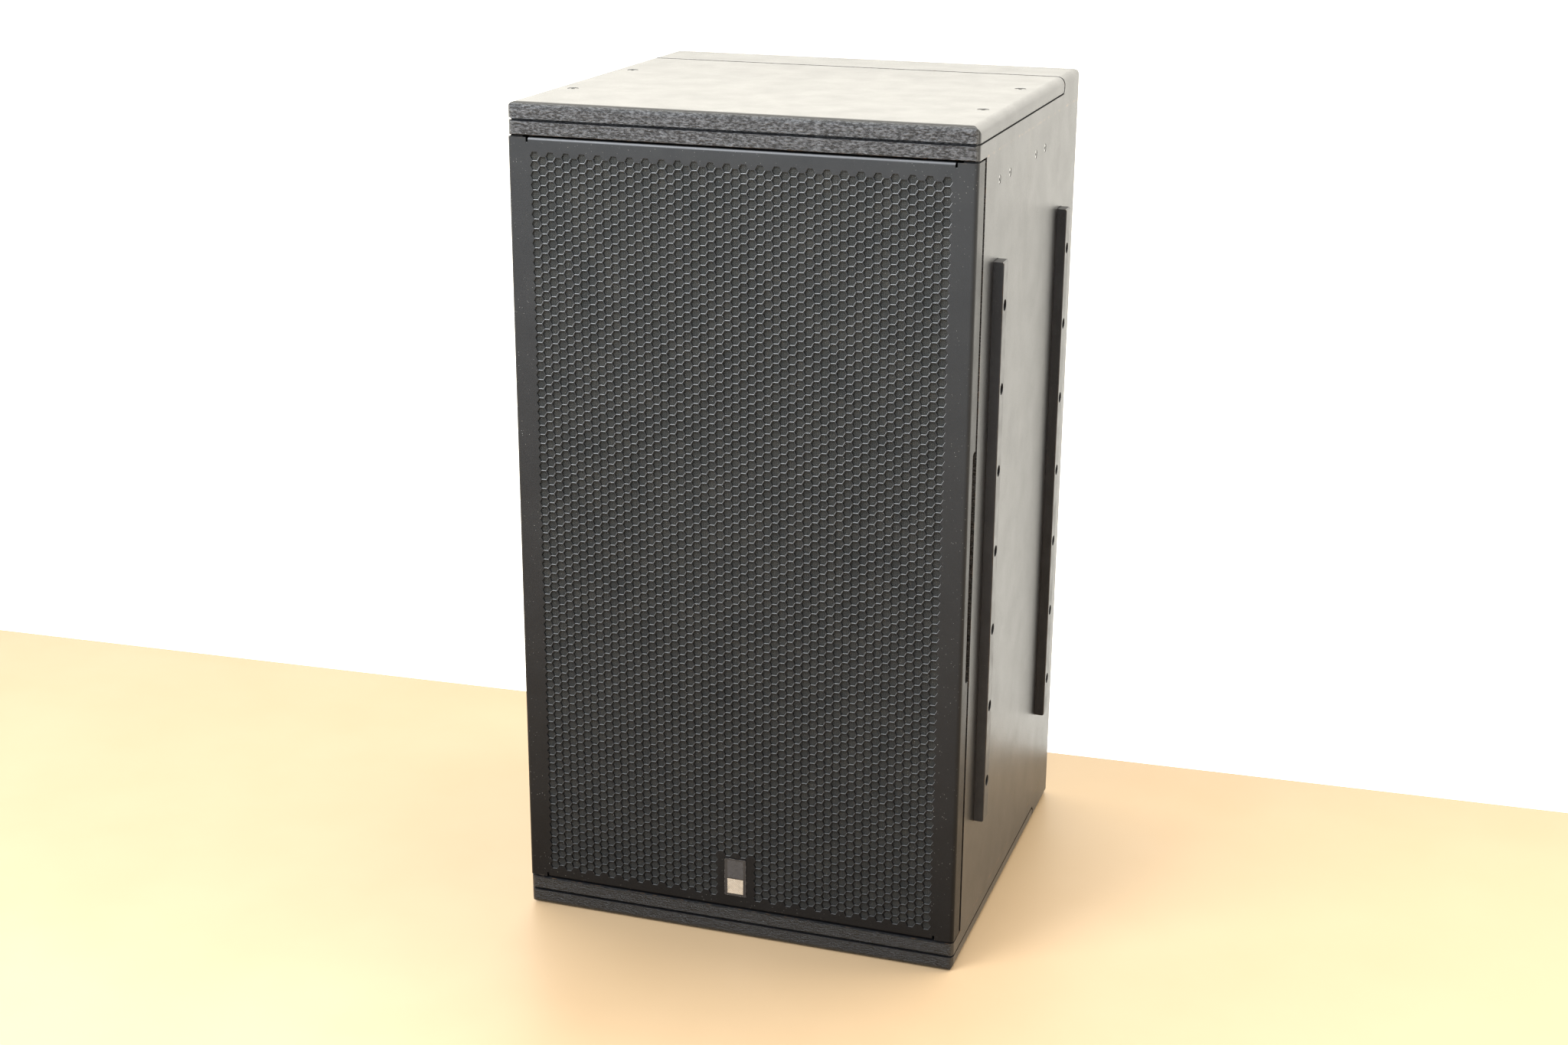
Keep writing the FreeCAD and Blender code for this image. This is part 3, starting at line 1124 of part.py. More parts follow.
def make_leds():
    """Domed status lenses pushed through the plate."""
    lenses = []
    for x, z in LED_POS:
        flange_y = AMP_OUTER_Y
        profile = [(0, flange_y - AMP_T), (LED_R, flange_y - AMP_T), (LED_R, flange_y + LED_PROUD * 0.5),
                   (LED_R * 0.7, flange_y + LED_PROUD * 0.9), (0, flange_y + LED_PROUD)]
        lenses.append(turned(profile, x, z))
    add("status_leds", *lenses)


def make_circuit_board():
    """Amplifier board on standoffs, with its capacitors, chokes and transistor bar."""
    x_span, z_span = BOARD
    board_y = (TRAY_FLOOR_Y + BOARD_STANDOFF, TRAY_FLOOR_Y + BOARD_STANDOFF + BOARD_T)
    pieces = [box(x_span, board_y, z_span)]
    inset = STANDOFF_INSET
    for x in (x_span[0] + inset, x_span[1] - inset):
        for z in (z_span[0] + inset, z_span[1] - inset):
            pieces.append(rod_y(STANDOFF_R, x, z, (TRAY_FLOOR_Y, board_y[1])))
    top = board_y[1] - 0.5
    pieces += [rod_y(CAPACITOR_R, x, z, (top, top + CAPACITOR_H)) for x, z in CAPACITOR_POS]
    pieces += [rod_y(CHOKE_R, x, z, (top, top + CHOKE_H)) for x, z in CHOKE_POS]
    bar_x, bar_z, bar_h = POWER_BAR
    pieces.append(box(bar_x, (top, top + bar_h), bar_z))
    add("circuit_board", fuse(pieces))


def make_transformer():
    """Toroidal transformer held to the tray floor by its centre bolt and dished washer."""
    x, z = TRANSFORMER_POS
    inner, outer = TRANSFORMER_R
    low = TRAY_FLOOR_Y
    high = low + TRANSFORMER_H
    e = TRANSFORMER_EDGE_R
    foot = TRANSFORMER_FOOT_R
    corners = [(V(x + outer, low, z), foot), (V(x + outer, high, z), e), (V(x + inner, high, z), e * 0.6),
               (V(x + inner, low, z), foot)]
    ring = Part.Face(rounded_wire(corners)).revolve(V(x, 0, z), AXIS_Y, 360)
    washer = rod_y(TRANSFORMER_WASHER_R, x, z, (high - 1, high + TRANSFORMER_WASHER_T))
    bolt = rod_y(TRANSFORMER_BOLT_R, x, z, (low, high + TRANSFORMER_BOLT_UP))
    nut = rod_y(TRANSFORMER_NUT_R, x, z, (high + 1, high + TRANSFORMER_BOLT_UP))
    add("transformer", fuse([ring, washer, bolt, nut]))


# ---------------------------------------------------------------- build and write

make_end_panels()
make_side_panels()
make_rear_panel()
make_baffle()
make_ducts()
make_brace()
make_end_covers()
make_cover_screws()
make_anchors()
make_runners()
make_grille()
make_grille_clips()
make_badge()
for driver_name, driver_z in DRIVER_Z.items():
    make_driver(driver_name, driver_z)
make_driver_screws()
make_leads()
make_lining()
make_amp_chassis()
make_heat_sink()
make_fan()
make_xlr_connectors()
make_mains_inlet()
make_switch()
make_leds()
make_circuit_board()
make_transformer()

os.makedirs("parts", exist_ok=True)
for node_name, node_shape in sorted(nodes.items()):
    if not node_shape.isValid():
        print("invalid shape:", node_name)
    node_shape.exportStep(os.path.join("parts", node_name + ".step"))
print(len(nodes), "nodes written")
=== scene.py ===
import json
import math
import bmesh
import bpy
import numpy as np
from mathutils import Matrix, Vector, geometry


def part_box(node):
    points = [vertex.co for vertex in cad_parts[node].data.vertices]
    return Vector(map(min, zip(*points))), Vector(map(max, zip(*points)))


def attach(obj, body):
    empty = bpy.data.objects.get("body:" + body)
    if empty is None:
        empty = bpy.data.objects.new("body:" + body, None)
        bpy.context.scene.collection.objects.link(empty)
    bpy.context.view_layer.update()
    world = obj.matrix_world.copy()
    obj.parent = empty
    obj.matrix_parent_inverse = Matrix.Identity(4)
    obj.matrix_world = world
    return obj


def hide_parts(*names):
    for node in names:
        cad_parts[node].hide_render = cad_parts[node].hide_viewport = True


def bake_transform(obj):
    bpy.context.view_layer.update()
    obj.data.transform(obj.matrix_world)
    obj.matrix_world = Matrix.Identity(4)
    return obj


# Looks of a twin-driver pa speaker cabinet, in metres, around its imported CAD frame.
# +Z up, the grille faces -Y, the runners are on +X.

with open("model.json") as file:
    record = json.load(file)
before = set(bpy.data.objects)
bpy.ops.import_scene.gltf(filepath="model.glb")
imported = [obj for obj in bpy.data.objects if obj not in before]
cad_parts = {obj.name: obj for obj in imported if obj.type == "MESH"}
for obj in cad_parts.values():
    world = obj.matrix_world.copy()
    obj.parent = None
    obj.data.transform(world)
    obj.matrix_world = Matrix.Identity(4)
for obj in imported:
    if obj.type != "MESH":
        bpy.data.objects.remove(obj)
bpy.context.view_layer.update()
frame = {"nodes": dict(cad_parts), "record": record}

MM = 0.001
HEIGHT = 915.5 * MM
BAFFLE_Y = -194.0 * MM
AMP_FACE_Y = 207.0 * MM
DRIVER_Z = {"upper": 652.75 * MM, "lower": 262.75 * MM}

# ---------------------------------------------------------------- camera and lights

CAMERA_AT = (0.75399, -2.35874, 1.23431)
CAMERA_RIGHT = (0.94866, 0.31622, 0.00624)
CAMERA_AHEAD = (-0.29822, 0.90089, -0.31538)
CAMERA_LENS = 51.65
SENSOR_WIDTH = 36.0

WALL_AT = (-0.14, 0.345)
WALL_TURN = math.radians(2.9)
WALL_COLOUR = (1.0, 0.965, 0.87, 1)
WALL_GLOW = (2.5, 3.8)
WALL_GLOW_SPAN = (0.88, 1.05)
WORLD_GLOW = 0.2
WORLD_COLOUR = (1, 0.99, 0.97, 1)

# Each light: its place, what it points at, its size, its watts and its colour.
LIGHTS = {
    "key": ((-0.9, -1.6, 2.4), (0, -0.1, 0.6), (1.0, 0.7), 72, (0.90, 0.95, 1.0)),
    "floor_wash": ((-0.3, -3.9, 2.0), (-0.3, -3.9, 0), (2.4, 3.0), 260, (0.92, 0.96, 1.0)),
    "side_wash": ((1.25, 0.1, 1.7), (1.15, 0.1, 0), (0.8, 1.6), 20, (1.0, 0.95, 0.88)),
    "rear_wash": ((-0.2, 2.6, 1.5), (0, 0.24, 0.45), (1.0, 0.8), 45, (1.0, 0.98, 0.95)),
}


def make_camera():
    data = bpy.data.cameras.new("camera")
    data.lens = CAMERA_LENS
    data.sensor_width = SENSOR_WIDTH
    camera = bpy.data.objects.new("camera", data)
    bpy.context.scene.collection.objects.link(camera)
    ahead = Vector(CAMERA_AHEAD).normalized()
    right = Vector(CAMERA_RIGHT).normalized()
    above = right.cross(ahead).normalized()
    right = ahead.cross(above)
    turn = Matrix((right, above, -ahead)).transposed()
    camera.matrix_world = Matrix.Translation(CAMERA_AT) @ turn.to_4x4()
    bpy.context.scene.camera = camera


def area_light(name, at, target, size, power, colour):
    data = bpy.data.lights.new(name, "AREA")
    data.shape = "RECTANGLE"
    data.size, data.size_y = size
    data.energy = power
    data.color = colour
    light = bpy.data.objects.new(name, data)
    bpy.context.scene.collection.objects.link(light)
    light.location = at
    light.rotation_euler = (Vector(target) - Vector(at)).to_track_quat("-Z", "Y").to_euler()


# ---------------------------------------------------------------- material nodes

# Heights over which finishes are painted paler towards the top: painted light.
PAINTED_FALLOFF_Z = (0.05, 0.92)


class Paint:
    """A material being built: adds shader nodes and links them."""

    def __init__(self, name):
        self.material = bpy.data.materials.new(name)
        self.material.use_nodes = True
        self.tree = self.material.node_tree
        self.tree.nodes.clear()
        coordinates = self.add("ShaderNodeTexCoord")
        self.place = coordinates.outputs["Object"]
        self.axes = self.add("ShaderNodeSeparateXYZ", {0: self.place}).outputs
        self.facing = self.add("ShaderNodeSeparateXYZ", {0: coordinates.outputs["Normal"]}).outputs

    def add(self, kind, inputs=None, **settings):
        node = self.tree.nodes.new(kind)
        for key, value in settings.items():
            setattr(node, key, value)
        for key, value in (inputs or {}).items():
            if isinstance(value, bpy.types.NodeSocket):
                self.tree.links.new(value, node.inputs[key])
            else:
                node.inputs[key].default_value = value
        return node

    def math(self, operation, a, b=0.0):
        """One arithmetic node."""
        return self.add("ShaderNodeMath", {0: a, 1: b}, operation=operation).outputs[0]

    def both(self, *masks):
        """Product of masks."""
        product = masks[0]
        for mask in masks[1:]:
            product = self.math("MULTIPLY", product, mask)
        return product

    def stretched(self, size, stretch=(1, 1, 1)):
        """Object coordinates scaled so that features are about size metres across."""
        scale = tuple(s / size for s in stretch)
        return self.add("ShaderNodeMapping", {"Vector": self.place, "Scale": scale}).outputs[0]

    def noise(self, size, detail=3.0, rough=0.55, stretch=(1, 1, 1)):
        inputs = {"Vector": self.stretched(size, stretch), "Scale": 1.0, "Detail": detail, "Roughness": rough}
        return self.add("ShaderNodeTexNoise", inputs).outputs[0]

    def cells(self, size, feature):
        inputs = {"Vector": self.stretched(size), "Scale": 1.0}
        return self.add("ShaderNodeTexVoronoi", inputs, feature=feature).outputs["Distance"]

    def wave(self, value, pitch):
        """0 to 1 and back once for each pitch of a value."""
        turned = self.math("SINE", self.math("MULTIPLY", value, 2 * math.pi / pitch))
        return self.span(turned, -1.0, 1.0)

    def span(self, value, low, high, to_low=0.0, to_high=1.0):
        """Map a value from one span to another, held at the ends."""
        inputs = {"Value": value, "From Min": low, "From Max": high, "To Min": to_low, "To Max": to_high}
        return self.add("ShaderNodeMapRange", inputs, clamp=True).outputs[0]

    def within(self, value, low, high):
        """1 between two limits and 0 outside them."""
        above = self.math("GREATER_THAN", value, low)
        return self.math("MULTIPLY", above, self.math("LESS_THAN", value, high))

    def mix(self, share, a, b):
        """A colour from a to b; each is a socket or three numbers."""
        a, b = [(*colour, 1) if isinstance(colour, tuple) else colour for colour in (a, b)]
        return self.add("ShaderNodeMix", {0: share, 6: a, 7: b}, data_type="RGBA").outputs[2]

    def blend(self, share, a, b):
        """A number from a to b."""
        return self.add("ShaderNodeMix", {0: share, 2: a, 3: b}).outputs[0]

    def bump(self, height, depth, under=None):
        """Bump of a height from 0 to 1 that stands depth metres tall."""
        inputs = {"Height": height, "Distance": depth, "Strength": 1.0}
        if under is not None:
            inputs["Normal"] = under
        return self.add("ShaderNodeBump", inputs).outputs[0]

    def edge_distance(self, box):
        """Distance from a box's edges: the middle one of the distances from its faces."""
        away = []
        for axis in range(3):
            middle = (box[0][axis] + box[1][axis]) / 2
            half = (box[1][axis] - box[0][axis]) / 2
            off = self.math("ABSOLUTE", self.math("SUBTRACT", self.axes[axis], middle))
            away.append(self.math("SUBTRACT", half, off))
        near = self.math("MINIMUM", away[0], away[1])
        far = self.math("MAXIMUM", away[0], away[1])
        return self.math("MAXIMUM", near, self.math("MINIMUM", far, away[2]))

    def around(self, x, z):
        """Radius from a line along Y, and the turn about it."""
        dx = self.math("SUBTRACT", self.axes[0], x)
        dz = self.math("SUBTRACT", self.axes[2], z)
        squares = self.math("ADD", self.math("MULTIPLY", dx, dx), self.math("MULTIPLY", dz, dz))
        return self.math("SQRT", squares), self.math("ARCTAN2", dz, dx)

    def tone(self, dark, light, size, detail=4.0, stretch=(1, 1, 1)):
        """A colour that drifts between two."""
        return self.mix(self.span(self.noise(size, detail, 0.6, stretch), 0.33, 0.67), dark, light)

    def painted_falloff(self, low, high):
        """From low at the cabinet's foot to high at its top: painted light that falls off down the cabinet.
        """
        return self.span(self.axes[2], *PAINTED_FALLOFF_Z, low, high)

    def patchy(self, low, high, size):
        """A number that drifts between two."""
        return self.span(self.noise(size), 0.32, 0.68, low, high)

    def finish(self, colour, roughness, normal, metallic=0.0, **more):
        """Close the material with its shader; more names further shader inputs."""
        words = {"Base Color": colour, "Roughness": roughness, "Normal": normal, "Metallic": metallic}
        words.update({key.replace("_", " "): value for key, value in more.items()})
        shader = self.add("ShaderNodeBsdfPrincipled", words)
        self.add("ShaderNodeOutputMaterial", {"Surface": shader.outputs[0]})
        return self.material


# ---------------------------------------------------------------- finishes

GRILLE_BORDER = 18 * MM
GRILLE_END_BEND = 3 * MM
CONE_RIBS_R = (70 * MM, 80 * MM)
CAP_GLUE_R = (64.5 * MM, 67 * MM)
COIL_FORMER_R = 50.1 * MM
THREADS_ROUND = 720

# Places on the amplifier module, as X and Z.
CONNECTORS = {"xlr_input": (24 * MM, 418 * MM), "xlr_output": (68 * MM, 418 * MM)}
INSERT_R = {"xlr_input": 7.7 * MM, "xlr_output": 9.7 * MM}
PIN_CIRCLE_R = 4.2 * MM
PIN_R = 1.35 * MM
PIN_ANGLES = (50, 180, 310)
MAINS_AT = (46 * MM, 338 * MM)
BLADES_X = (-7 * MM, 0, 7 * MM)
BLADE_HALF = (1.2 * MM, 6 * MM)
TRANSFORMER_AT = (70 * MM, 345 * MM)
WASHER_R = 30.2 * MM
WASHER_DEPTH = 12 * MM
CHOKES_AT = ((70 * MM, 560 * MM), (-70 * MM, 552 * MM))
CHOKE_R = 14.5 * MM
BAR_Z = (489 * MM, 521 * MM)
BOARD_PARTS_Y = 9.8 * MM
CAN_LID = 1.0 * MM
LED_BOUNDS_X = (108 * MM, 116 * MM)
LED_COLOURS = ((0.06, 0.42, 0.1), (0.62, 0.3, 0.03), (0.55, 0.03, 0.02))


def worn_edges(p, colour, box, worn, width=1.6 * MM, bite=0.5):
    """Rub a colour through along a box's edges, in ragged patches."""
    edge = p.span(p.edge_distance(box), 0.0, width, 1.0, 0.0)
    ragged = p.span(p.noise(9 * MM, 5.0, 0.7), bite, bite + 0.12)
    return p.mix(p.both(edge, ragged), colour, worn)


def dusted(p, colour, amount, size=3.5 * MM, dust=(0.5, 0.49, 0.46)):
    """Scattered specks of pale dust."""
    speck = p.span(p.cells(size, "F1"), 0.04, 0.1, amount, 0.0)
    return p.mix(p.both(speck, p.span(p.noise(60 * MM), 0.42, 0.6)), colour, dust)


def cabinet_paint(name, box):
    """Textured black paint over plywood: rough grain on the front faces with painted glints on its peaks and
    painted shade towards the foot, calmer on the other faces.
    """
    p = Paint(name)
    colour = p.tone((0.009, 0.0095, 0.011), (0.015, 0.015, 0.016), 110 * MM)
    scuffs = p.span(p.noise(45 * MM, 6.0, 0.72, (1, 1, 0.3)), 0.62, 0.74, 0.0, 0.3)
    colour = p.mix(scuffs, colour, (0.085, 0.078, 0.066))
    colour = worn_edges(p, colour, box, (0.13, 0.075, 0.035))
    colour = dusted(p, colour, 0.4, 5 * MM)
    front = p.span(p.facing[1], -0.6, -0.85)
    # Painted shade: front faces darkened towards the foot.
    colour = p.mix(p.both(front, p.painted_falloff(1.0, 0.0)), colour, (0.003, 0.003, 0.0035))
    grain = p.noise(2.4 * MM, 3.0, 0.7, (0.55, 1, 1.5))
    # Painted glints: the grain's peaks on front faces painted pale, fainter towards the foot.
    painted_glints = p.both(front, p.span(grain, 0.42, 0.66), p.painted_falloff(0.04, 1.0))
    colour = p.mix(painted_glints, colour, (0.16, 0.165, 0.173))
    normal = p.bump(p.blend(front, p.math("MULTIPLY", grain, 0.08), grain), 2.6 * MM)
    normal = p.bump(p.noise(0.9 * MM, 2.0), 0.08 * MM, normal)
    return p.finish(colour, p.patchy(0.33, 0.37, 40 * MM), normal)


def grille_coat(name, box):
    """Powder-coated steel: fine texture, dust specks and rubbed edges, painted paler towards the top as
    painted light, with dust and painted highlight on the holes' lower rims and a painted highlight along the
    top fold.
    """
    p = Paint(name)
    # Painted light and shade: near-black at the foot to a paler tone at the top, standing in for light and
    # sheen falling off down the front.
    new = p.tone((0.003, 0.0032, 0.004), (0.005, 0.0052, 0.006), 60 * MM)
    painted_light_tone = p.tone((0.034, 0.0355, 0.0372), (0.040, 0.0415, 0.043), 60 * MM)
    colour = p.mix(p.painted_falloff(0.0, 1.0), new, painted_light_tone)
    colour = worn_edges(p, colour, box, (0.10, 0.085, 0.07), 1.2 * MM, 0.52)
    # Dust and painted highlight: hole rims that face up and to the left, inside the border, painted pale,
    # more so towards the top.
    lit = p.math("SUBTRACT", p.facing[2], p.math("MULTIPLY", p.facing[0], 0.6))
    bottom, top = box[0][2] + GRILLE_END_BEND, box[1][2] - GRILLE_END_BEND
    rims = p.both(p.math("LESS_THAN", p.math("ABSOLUTE", p.axes[0]), box[1][0] - GRILLE_BORDER),
                  p.within(p.axes[2], bottom, top), p.span(lit, 0.15, 0.5))
    colour = p.mix(p.both(rims, p.painted_falloff(0.12, 0.9)), colour, (0.44, 0.44, 0.44))
    # Painted highlight: the upward-facing bend of the top fold painted pale.
    fold = p.both(p.math("GREATER_THAN", p.axes[2], top), p.span(p.facing[2], 0.2, 0.6),
                  p.span(p.facing[2], 0.95, 0.85))
    colour = p.mix(fold, colour, (0.17, 0.17, 0.175))
    colour = dusted(p, colour, 0.8)
    normal = p.bump(p.noise(1.3 * MM, 3.0, 0.6), 0.16 * MM)
    normal = p.bump(p.noise(90 * MM, 2.0), 0.6 * MM, normal)
    return p.finish(colour, p.patchy(0.38, 0.46, 30 * MM), normal, Specular_IOR_Level=0.18)


def coated(name, dark, light, roughness, grain, depth, box=None, worn=(0.3, 0.29, 0.28), metallic=0.0):
    """Paint, anodising or moulded plastic with a fine grain."""
    p = Paint(name)
    colour = p.tone(dark, light, 40 * MM)
    if box:
        colour = worn_edges(p, colour, box, worn, 0.8 * MM)
    colour = dusted(p, colour, 0.25)
    normal = p.bump(p.noise(grain, 3.0, 0.6), depth)
    return p.finish(colour, p.patchy(roughness - 0.05, roughness + 0.07, 25 * MM), normal, metallic)


def plated(name, dark, light, roughness):
    """Plated or machined metal with fine marks and faint spots."""
    p = Paint(name)
    colour = p.tone(dark, light, 14 * MM)
    spots = p.span(p.noise(3 * MM, 5.0, 0.7), 0.62, 0.74, 0.0, 0.5)
    colour = p.mix(spots, colour, tuple(c * 0.35 for c in dark))
    normal = p.bump(p.noise(0.5 * MM, 2.0, 0.5), 0.012 * MM)
    return p.finish(colour, p.patchy(roughness - 0.06, roughness + 0.1, 8 * MM), normal, 1.0)


def plywood(name, box):
    """Birch plywood: long grain on the faces, veneer lines along the thin edges."""
    p = Paint(name)
    sizes = [box[1][i] - box[0][i] for i in range(3)]
    thin = sizes.index(min(sizes))
    long = sizes.index(max(sizes))
    stretch = [1.0, 1.0, 1.0]
    stretch[long] = 0.06
    colour = p.tone((0.42, 0.29, 0.17), (0.62, 0.47, 0.3), 5 * MM, 6.0, tuple(stretch))
    across = p.math("ABSOLUTE", p.facing[thin])
    veneer = p.wave(p.axes[thin], 3 * MM)
    edge = p.mix(veneer, (0.3, 0.19, 0.1), (0.58, 0.43, 0.27))
    colour = p.mix(p.span(across, 0.3, 0.7), edge, colour)
    normal = p.bump(p.noise(1.4 * MM, 4.0, 0.6, tuple(stretch)), 0.12 * MM)
    return p.finish(colour, p.patchy(0.55, 0.75, 20 * MM), normal)


def baffle_paint(name, box):
    """Flat black paint over plywood, with its grain showing through."""
    p = Paint(name)
    colour = p.tone((0.026, 0.024, 0.022), (0.045, 0.041, 0.036), 60 * MM)
    colour = worn_edges(p, colour, box, (0.3, 0.2, 0.11), 1.5 * MM)
    normal = p.bump(p.noise(2 * MM, 4.0, 0.6, (1, 1, 0.08)), 0.18 * MM)
    return p.finish(colour, p.patchy(0.6, 0.8, 30 * MM), normal)


def weave(p, pitch):
    """Height of a plain weave that lies in the front plane, and its threads' crossings."""
    warp = p.wave(p.axes[0], pitch)
    weft = p.wave(p.axes[2], pitch)
    return p.math("MAXIMUM", warp, weft), p.math("MULTIPLY", p.span(warp, 0.0, 0.35, 1, 0),
                                                 p.span(weft, 0.0, 0.35, 1, 0))


def screen_cloth(name):
    """Open woven acoustic cloth, a little see-through, grey with dust specks, painted paler towards the top
    as painted light.
    """
    p = Paint(name)
    height, open_share = weave(p, 1.3 * MM)
    # Painted light and shade: darker at the foot, paler at the top.
    new = p.tone((0.013, 0.014, 0.014), (0.021, 0.021, 0.019), 30 * MM)
    painted_light_tone = p.tone((0.029, 0.0315, 0.031), (0.043, 0.043, 0.039), 30 * MM)
    colour = p.mix(p.painted_falloff(0.0, 1.0), new, painted_light_tone)
    colour = dusted(p, colour, 0.5)
    alpha = p.span(open_share, 0.05, 0.6, 1.0, 0.2)
    return p.finish(colour, 0.95, p.bump(height, 0.35 * MM), Alpha=alpha)


def cone_paper(name, z):
    """Ribbed black paper with pale fibres."""
    p = Paint(name)
    radius, _ = p.around(0, z)
    colour = p.tone((0.022, 0.021, 0.021), (0.036, 0.034, 0.033), 25 * MM)
    fibres = p.span(p.noise(2.2 * MM, 4.0, 0.7, (1, 0.4, 2.2)), 0.64, 0.72, 0, 0.45)
    colour = p.mix(fibres, colour, (0.11, 0.1, 0.09))
    ribs = p.both(p.wave(radius, 9 * MM), p.span(radius, *CONE_RIBS_R))
    normal = p.bump(ribs, 0.7 * MM)
    normal = p.bump(p.noise(1.1 * MM, 4.0, 0.65), 0.16 * MM, normal)
    return p.finish(colour, p.patchy(0.72, 0.88, 12 * MM), normal)


def cap_paper(name, z):
    """Pressed dust cap, slightly glossy with a dull rim of glue."""
    p = Paint(name)
    radius, _ = p.around(0, z)
    colour = p.tone((0.04, 0.04, 0.043), (0.06, 0.06, 0.064), 20 * MM)
    colour = p.mix(p.span(radius, *CAP_GLUE_R), colour, (0.02, 0.019, 0.018))
    normal = p.bump(p.noise(0.9 * MM, 3.0), 0.07 * MM)
    return p.finish(colour, p.patchy(0.3, 0.42, 12 * MM), normal)


def pressed_cloth(name, z, dark, light, pitch, roughness):
    """Doped cloth whose threads run round and across the driver's axis."""
    p = Paint(name)
    radius, turn = p.around(0, z)
    colour = p.tone(dark, light, 16 * MM)
    threads = p.math("MAXIMUM", p.wave(radius, pitch), p.wave(turn, 2 * math.pi / THREADS_ROUND))
    normal = p.bump(threads, 0.14 * MM)
    return p.finish(colour, p.patchy(roughness - 0.06, roughness + 0.08, 9 * MM), normal)


def voice_coil(name, z):
    """Copper winding on an amber former."""
    p = Paint(name)
    radius, _ = p.around(0, z)
    wound = p.math("GREATER_THAN", radius, COIL_FORMER_R)
    copper = p.tone((0.62, 0.28, 0.15), (0.8, 0.42, 0.25), 6 * MM)
    former = p.tone((0.5, 0.3, 0.1), (0.6, 0.38, 0.15), 10 * MM)
    normal = p.bump(p.wave(p.axes[1], 0.5 * MM), 0.1 * MM)
    return p.finish(p.mix(wound, former, copper), p.patchy(0.28, 0.42, 6 * MM), normal, wound)


def ferrite(name):
    """Sintered magnet: matt dark grey with chips and dust."""
    p = Paint(name)
    colour = p.tone((0.045, 0.045, 0.05), (0.075, 0.075, 0.08), 18 * MM)
    colour = dusted(p, colour, 0.6)
    normal = p.bump(p.noise(1.6 * MM, 5.0, 0.7), 0.12 * MM)
    return p.finish(colour, p.patchy(0.55, 0.75, 14 * MM), normal)


def badge_foil(name):
    """Bright foil with a fine crossed engraving and faint smears."""
    p = Paint(name)
    rising = p.math("ADD", p.axes[0], p.axes[2])
    falling = p.math("SUBTRACT", p.axes[0], p.axes[2])
    lines = p.math("MAXIMUM", p.wave(rising, 2.1 * MM), p.wave(falling, 2.1 * MM))
    colour = p.mix(p.span(lines, 0.7, 0.98), (0.50, 0.47, 0.42), (0.78, 0.76, 0.72))
    colour = p.mix(p.span(p.noise(7 * MM, 4.0), 0.45, 0.7, 0, 0.5), colour, (0.3, 0.29, 0.27))
    return p.finish(colour, p.patchy(0.3, 0.45, 5 * MM), p.bump(lines, 0.12 * MM), 0.85)


def badge_plate(name, box):
    """Glossy black plate with a dark-grey field above the foil."""
    p = Paint(name)
    edge = p.edge_distance(box)
    middle = (box[0][2] + box[1][2]) / 2
    field = p.both(p.within(p.axes[0], box[0][0] + 3.2 * MM, box[1][0] - 3.2 * MM),
                   p.within(p.axes[2], middle - 0.6 * MM, box[1][2] - 1.8 * MM),
                   p.math("LESS_THAN", p.axes[1], box[0][1] + 0.2 * MM))
    grey = p.tone((0.03, 0.031, 0.034), (0.045, 0.045, 0.049), 5 * MM)
    black = p.tone((0.012, 0.012, 0.014), (0.02, 0.02, 0.022), 8 * MM)
    colour = p.mix(field, black, grey)
    colour = p.mix(p.both(p.span(edge, 0, 0.4 * MM, 1, 0), p.span(p.noise(2 * MM), 0.5, 0.6)), colour,
                   (0.2, 0.19, 0.18))
    normal = p.bump(p.noise(0.6 * MM, 2.0), 0.02 * MM)
    return p.finish(colour, p.patchy(0.24, 0.36, 6 * MM), normal)


def heat_sink(name, box):
    """Black anodised extrusion: fine lines along its length, bare at the fins' tips."""
    p = Paint(name)
    colour = p.tone((0.018, 0.018, 0.02), (0.03, 0.03, 0.033), 30 * MM)
    tips = p.span(p.axes[1], box[1][1] - 0.7 * MM, box[1][1])
    tips = p.both(tips, p.span(p.noise(8 * MM, 5.0), 0.58, 0.68))
    colour = p.mix(tips, colour, (0.17, 0.17, 0.175))
    normal = p.bump(p.noise(0.7 * MM, 2.0, 0.5, (1, 1, 0.02)), 0.05 * MM)
    return p.finish(colour, p.patchy(0.34, 0.46, 20 * MM), normal, 0.4)


def connector(name, x, z, insert_r):
    """Nickel shell with a black insert and gold contacts."""
    p = Paint(name)
    radius, _ = p.around(x, z)
    shell = p.tone((0.52, 0.5, 0.47), (0.66, 0.64, 0.6), 8 * MM)
    inside = p.both(p.math("LESS_THAN", radius, insert_r),
                    p.math("LESS_THAN", p.axes[1], AMP_FACE_Y + 3.2 * MM))
    metal = p.math("SUBTRACT", 1.0, inside)
    colour = p.mix(inside, shell, p.tone((0.014, 0.014, 0.015), (0.024, 0.024, 0.025), 5 * MM))
    for angle in PIN_ANGLES:
        turn = math.radians(angle)
        near, _ = p.around(x + PIN_CIRCLE_R * math.cos(turn), z + PIN_CIRCLE_R * math.sin(turn))
        gold = p.math("LESS_THAN", near, PIN_R)
        colour = p.mix(gold, colour, (0.75, 0.5, 0.18))
        metal = p.math("MAXIMUM", metal, gold)
    normal = p.bump(p.noise(0.5 * MM, 2.0), 0.015 * MM)
    return p.finish(colour, p.patchy(0.24, 0.36, 5 * MM), normal, metal)


def mains_inlet(name, x, z):
    """Moulded black inlet with nickel blades."""
    p = Paint(name)
    colour = p.tone((0.016, 0.016, 0.017), (0.026, 0.026, 0.028), 8 * MM)
    metal = None
    deep = p.math("LESS_THAN", p.axes[1], AMP_FACE_Y - 1.5 * MM)
    half_x, half_z = BLADE_HALF
    for bx in BLADES_X:
        blade = p.both(p.within(p.axes[0], x + bx - half_x, x + bx + half_x),
                       p.within(p.axes[2], z - half_z, z + half_z), deep)
        metal = blade if metal is None else p.math("MAXIMUM", metal, blade)
    colour = p.mix(metal, colour, (0.6, 0.58, 0.54))
    normal = p.bump(p.noise(0.8 * MM, 3.0), 0.05 * MM)
    return p.finish(colour, p.patchy(0.36, 0.5, 8 * MM), normal, metal)


